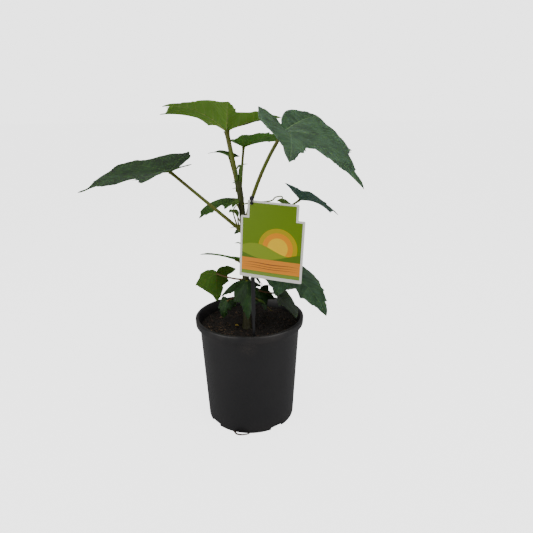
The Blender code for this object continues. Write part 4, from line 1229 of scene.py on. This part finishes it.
def card_layer(name, outlines, low, high, material, slot, *nodes):
    """A sheet cut to the first outline, with the others as holes, on the bowed card."""
    curve = bpy.data.curves.new(name, "CURVE")
    curve.dimensions = "2D"
    curve.fill_mode = "BOTH"
    for outline in outlines:
        spline = curve.splines.new("POLY")
        spline.points.add(len(outline) - 1)
        spline.use_cyclic_u = True
        for spot, corner in zip(spline.points, outline):
            spot.co = (*corner, 0.0, 1.0)
    flat = bpy.data.objects.new(name, curve)
    mesh = bpy.data.meshes.new_from_object(flat)
    bpy.data.objects.remove(flat)
    sheet = bmesh.new()
    sheet.from_mesh(mesh)
    bpy.data.meshes.remove(mesh)
    bmesh.ops.remove_doubles(sheet, verts=sheet.verts, dist=0.001)
    for across in np.arange(4.0, CARD_WIDTH, 4.0):
        bmesh.ops.bisect_plane(sheet, geom=sheet.verts[:] + sheet.edges[:] + sheet.faces[:],
                               plane_co=(across, 0, 0), plane_no=(1, 0, 0))
    grown = bmesh.ops.extrude_face_region(sheet, geom=sheet.faces[:])
    raised = {vert for vert in grown["geom"] if isinstance(vert, bmesh.types.BMVert)}
    for vert in sheet.verts:
        across = 2.0 * vert.co.x / CARD_WIDTH - 1.0
        out = CARD_BOW * (0.5 - across * across) + (high if vert in raised else low)
        vert.co = hang @ Vector((vert.co.x - CARD_HANG[0], vert.co.y - CARD_HANG[1], out)) * MM
    bmesh.ops.recalc_face_normals(sheet, faces=sheet.faces[:])
    mesh = bpy.data.meshes.new(name)
    sheet.to_mesh(mesh)
    sheet.free()
    mesh.materials.append(material)
    piece = bpy.data.objects.new(name, mesh)
    bpy.context.scene.collection.objects.link(piece)
    return keep(piece, slot, *nodes)


def ink(name, code):
    """Varnished offset print: one flat colour with the faint unevenness of its screen."""
    made, tree, shader = finish(name, Roughness=0.40, IOR=1.47, Specular_IOR_Level=0.25)
    place = add(tree, "TexCoord").outputs["Object"]
    screen = add(tree, "TexNoise", {"Vector": place, "Scale": 1 / (0.6 * MM), "Detail": 2.0})
    colour = linear(code)
    tone = add(tree, "Mix", {0: screen.outputs["Fac"], 6: colour,
                             7: (*[0.84 * part for part in colour[:3]], 1.0)},
               data_type="RGBA")
    tree.links.new(tone.outputs[2], shader.inputs["Base Color"])
    return made


white_ink = ink("white_card", "EFEDE4")
hole = disc(CARD_HANG, HOLE_RADIUS, 24)
card_layer("label_board", (card_outline(0, 0, 0, 0, 1.6), hole), -CARD_HALF,
           CARD_HALF - 4 * INK, white_ink, "label_card", "label_card")
field = card_outline(*BORDER, 0.8)
face = CARD_HALF - 4 * INK
card_layer("print_field", (field, hole), face, face + INK, ink("green_ink", "6D8C08"),
           "label_card")
left, right = BORDER[0], CARD_WIDTH - BORDER[2]
wide = right - left


def band(name, low, high, code, level=1):
    """A printed area across the card between two lines, each a function of the share across."""
    shares = np.linspace(0.0, 1.0, 40)
    outline = [Vector((left + wide * t, low(t))) for t in shares]
    outline += [Vector((left + wide * t, high(t))) for t in reversed(shares)]
    card_layer(name, (outline,), face + level * INK, face + (level + 1) * INK,
               ink(name + "_ink", code), "label_card")


SUN = (53.0, 45.0)
SUN_RINGS = (                      # name, radius, colour, level
    ("print_glow", 27.0, "C0A80C", 1),
    ("print_sun", 21.0, "F59A10", 2),
    ("print_sun_middle", 14.0, "FFCE20", 3),
)
for name, radius, code, level in SUN_RINGS:
    card_layer(name, (disc(SUN, radius, 72),), face + (level - 0.2) * INK,
               face + (level + 0.8) * INK, ink(name + "_ink", code), "label_card")
band("print_far_hill", lambda t: 22.0, lambda t: 42.0 + 7.0 * math.sin(5.2 * t + 0.4), "8DA326",
     2.9)
band("print_near_hill", lambda t: 22.0, lambda t: 34.0 - 6.0 * math.sin(4.4 * t - 0.2), "5F7D1A",
     3.1)
band("print_orange_band", lambda t: 10.0, lambda t: 28.0, "F09530", 3.3)
band("print_foot_strip", lambda t: BORDER[1], lambda t: 9.6, "7F9C3C", 3.3)
for number, (low, deep) in enumerate(((21.0, 1.3), (17.6, 0.9), (14.6, 0.9))):
    band("print_line_%d" % (number + 1), lambda t: low + 0.6 * math.sin(9 * t),
         lambda t: low + deep * math.sin(math.pi * t) + 0.6 * math.sin(9 * t), "8A5A30", 3.5)

# The strip and its hook: black polypropylene, moulded flat with rounded edges.
STRIP_PLACE = (8.5, -74.0)
STRIP_THICK = 1.2
STRIP_EDGE = 0.35
strip_side = ((1.8, 150.0), (1.8, 196.0), (2.8, 202.0), (2.8, 368.0), (2.0, 369.8))
outline = list(strip_side)
outline += [(-across, up) for across, up in reversed(strip_side)]
shape = bmesh.new()
ring = [shape.verts.new(Vector((STRIP_PLACE[0] + across, STRIP_PLACE[1] + STRIP_THICK / 2, up)) * MM)
        for across, up in outline]
strip_face = shape.faces.new(ring)
grown = bmesh.ops.extrude_face_region(shape, geom=[strip_face])
for vert in grown["geom"]:
    if isinstance(vert, bmesh.types.BMVert):
        vert.co.y -= STRIP_THICK * MM
bmesh.ops.recalc_face_normals(shape, faces=shape.faces[:])
mesh = bpy.data.meshes.new("label_stake")
shape.to_mesh(mesh)
shape.free()
stake = bpy.data.objects.new("label_stake", mesh)
bpy.context.scene.collection.objects.link(stake)
rounding = stake.modifiers.new("round", "BEVEL")
rounding.width = STRIP_EDGE * MM
rounding.segments = 3
rounding.limit_method = "ANGLE"
rounding.angle_limit = math.radians(40.0)
apply_all(stake)
mesh.shade_smooth()
mesh.set_sharp_from_angle(angle=math.radians(50.0))

strip_plastic, tree, shader = finish("black_strip_plastic", Roughness=0.42, IOR=1.49)
place = add(tree, "TexCoord").outputs["Object"]
scuff = add(tree, "TexNoise", {"Vector": place, "Scale": 1 / (4 * MM), "Detail": 6.0})
tone = add(tree, "Mix", {0: scuff.outputs["Fac"], 6: linear("0D0D0F"), 7: linear("1E1E20")},
           data_type="RGBA")
relief = add(tree, "Bump", {"Height": scuff.outputs["Fac"], "Distance": 0.04 * MM})
tree.links.new(tone.outputs[2], shader.inputs["Base Color"])
tree.links.new(relief.outputs[0], shader.inputs["Normal"])
stake.data.materials.append(strip_plastic)
keep(stake, "label_plastic", "label_strip")

line = curve_line(((8.5, -73.9, 361.0), (8.5, -76.5, 361.0), (8.5, -78.8, 361.3),
                   (8.5, -79.9, 363.0), (8.5, -80.0, 367.0), (8.5, -79.8, 371.5)), 40)
ends = [1.3 * min(1.0, math.sqrt(max(0.02, min(t, 1.0 - t) * 14.0)))
        for t in np.linspace(0.0, 1.0, 40)]
points, faces = tube(line, ends, 20)
hook = mesh_piece("label_hook_curved", points, faces, strip_plastic)
keep(hook, "label_plastic", "label_hook")


# ---- last update of the scene ---------------------------------------------------
bpy.context.view_layer.update()
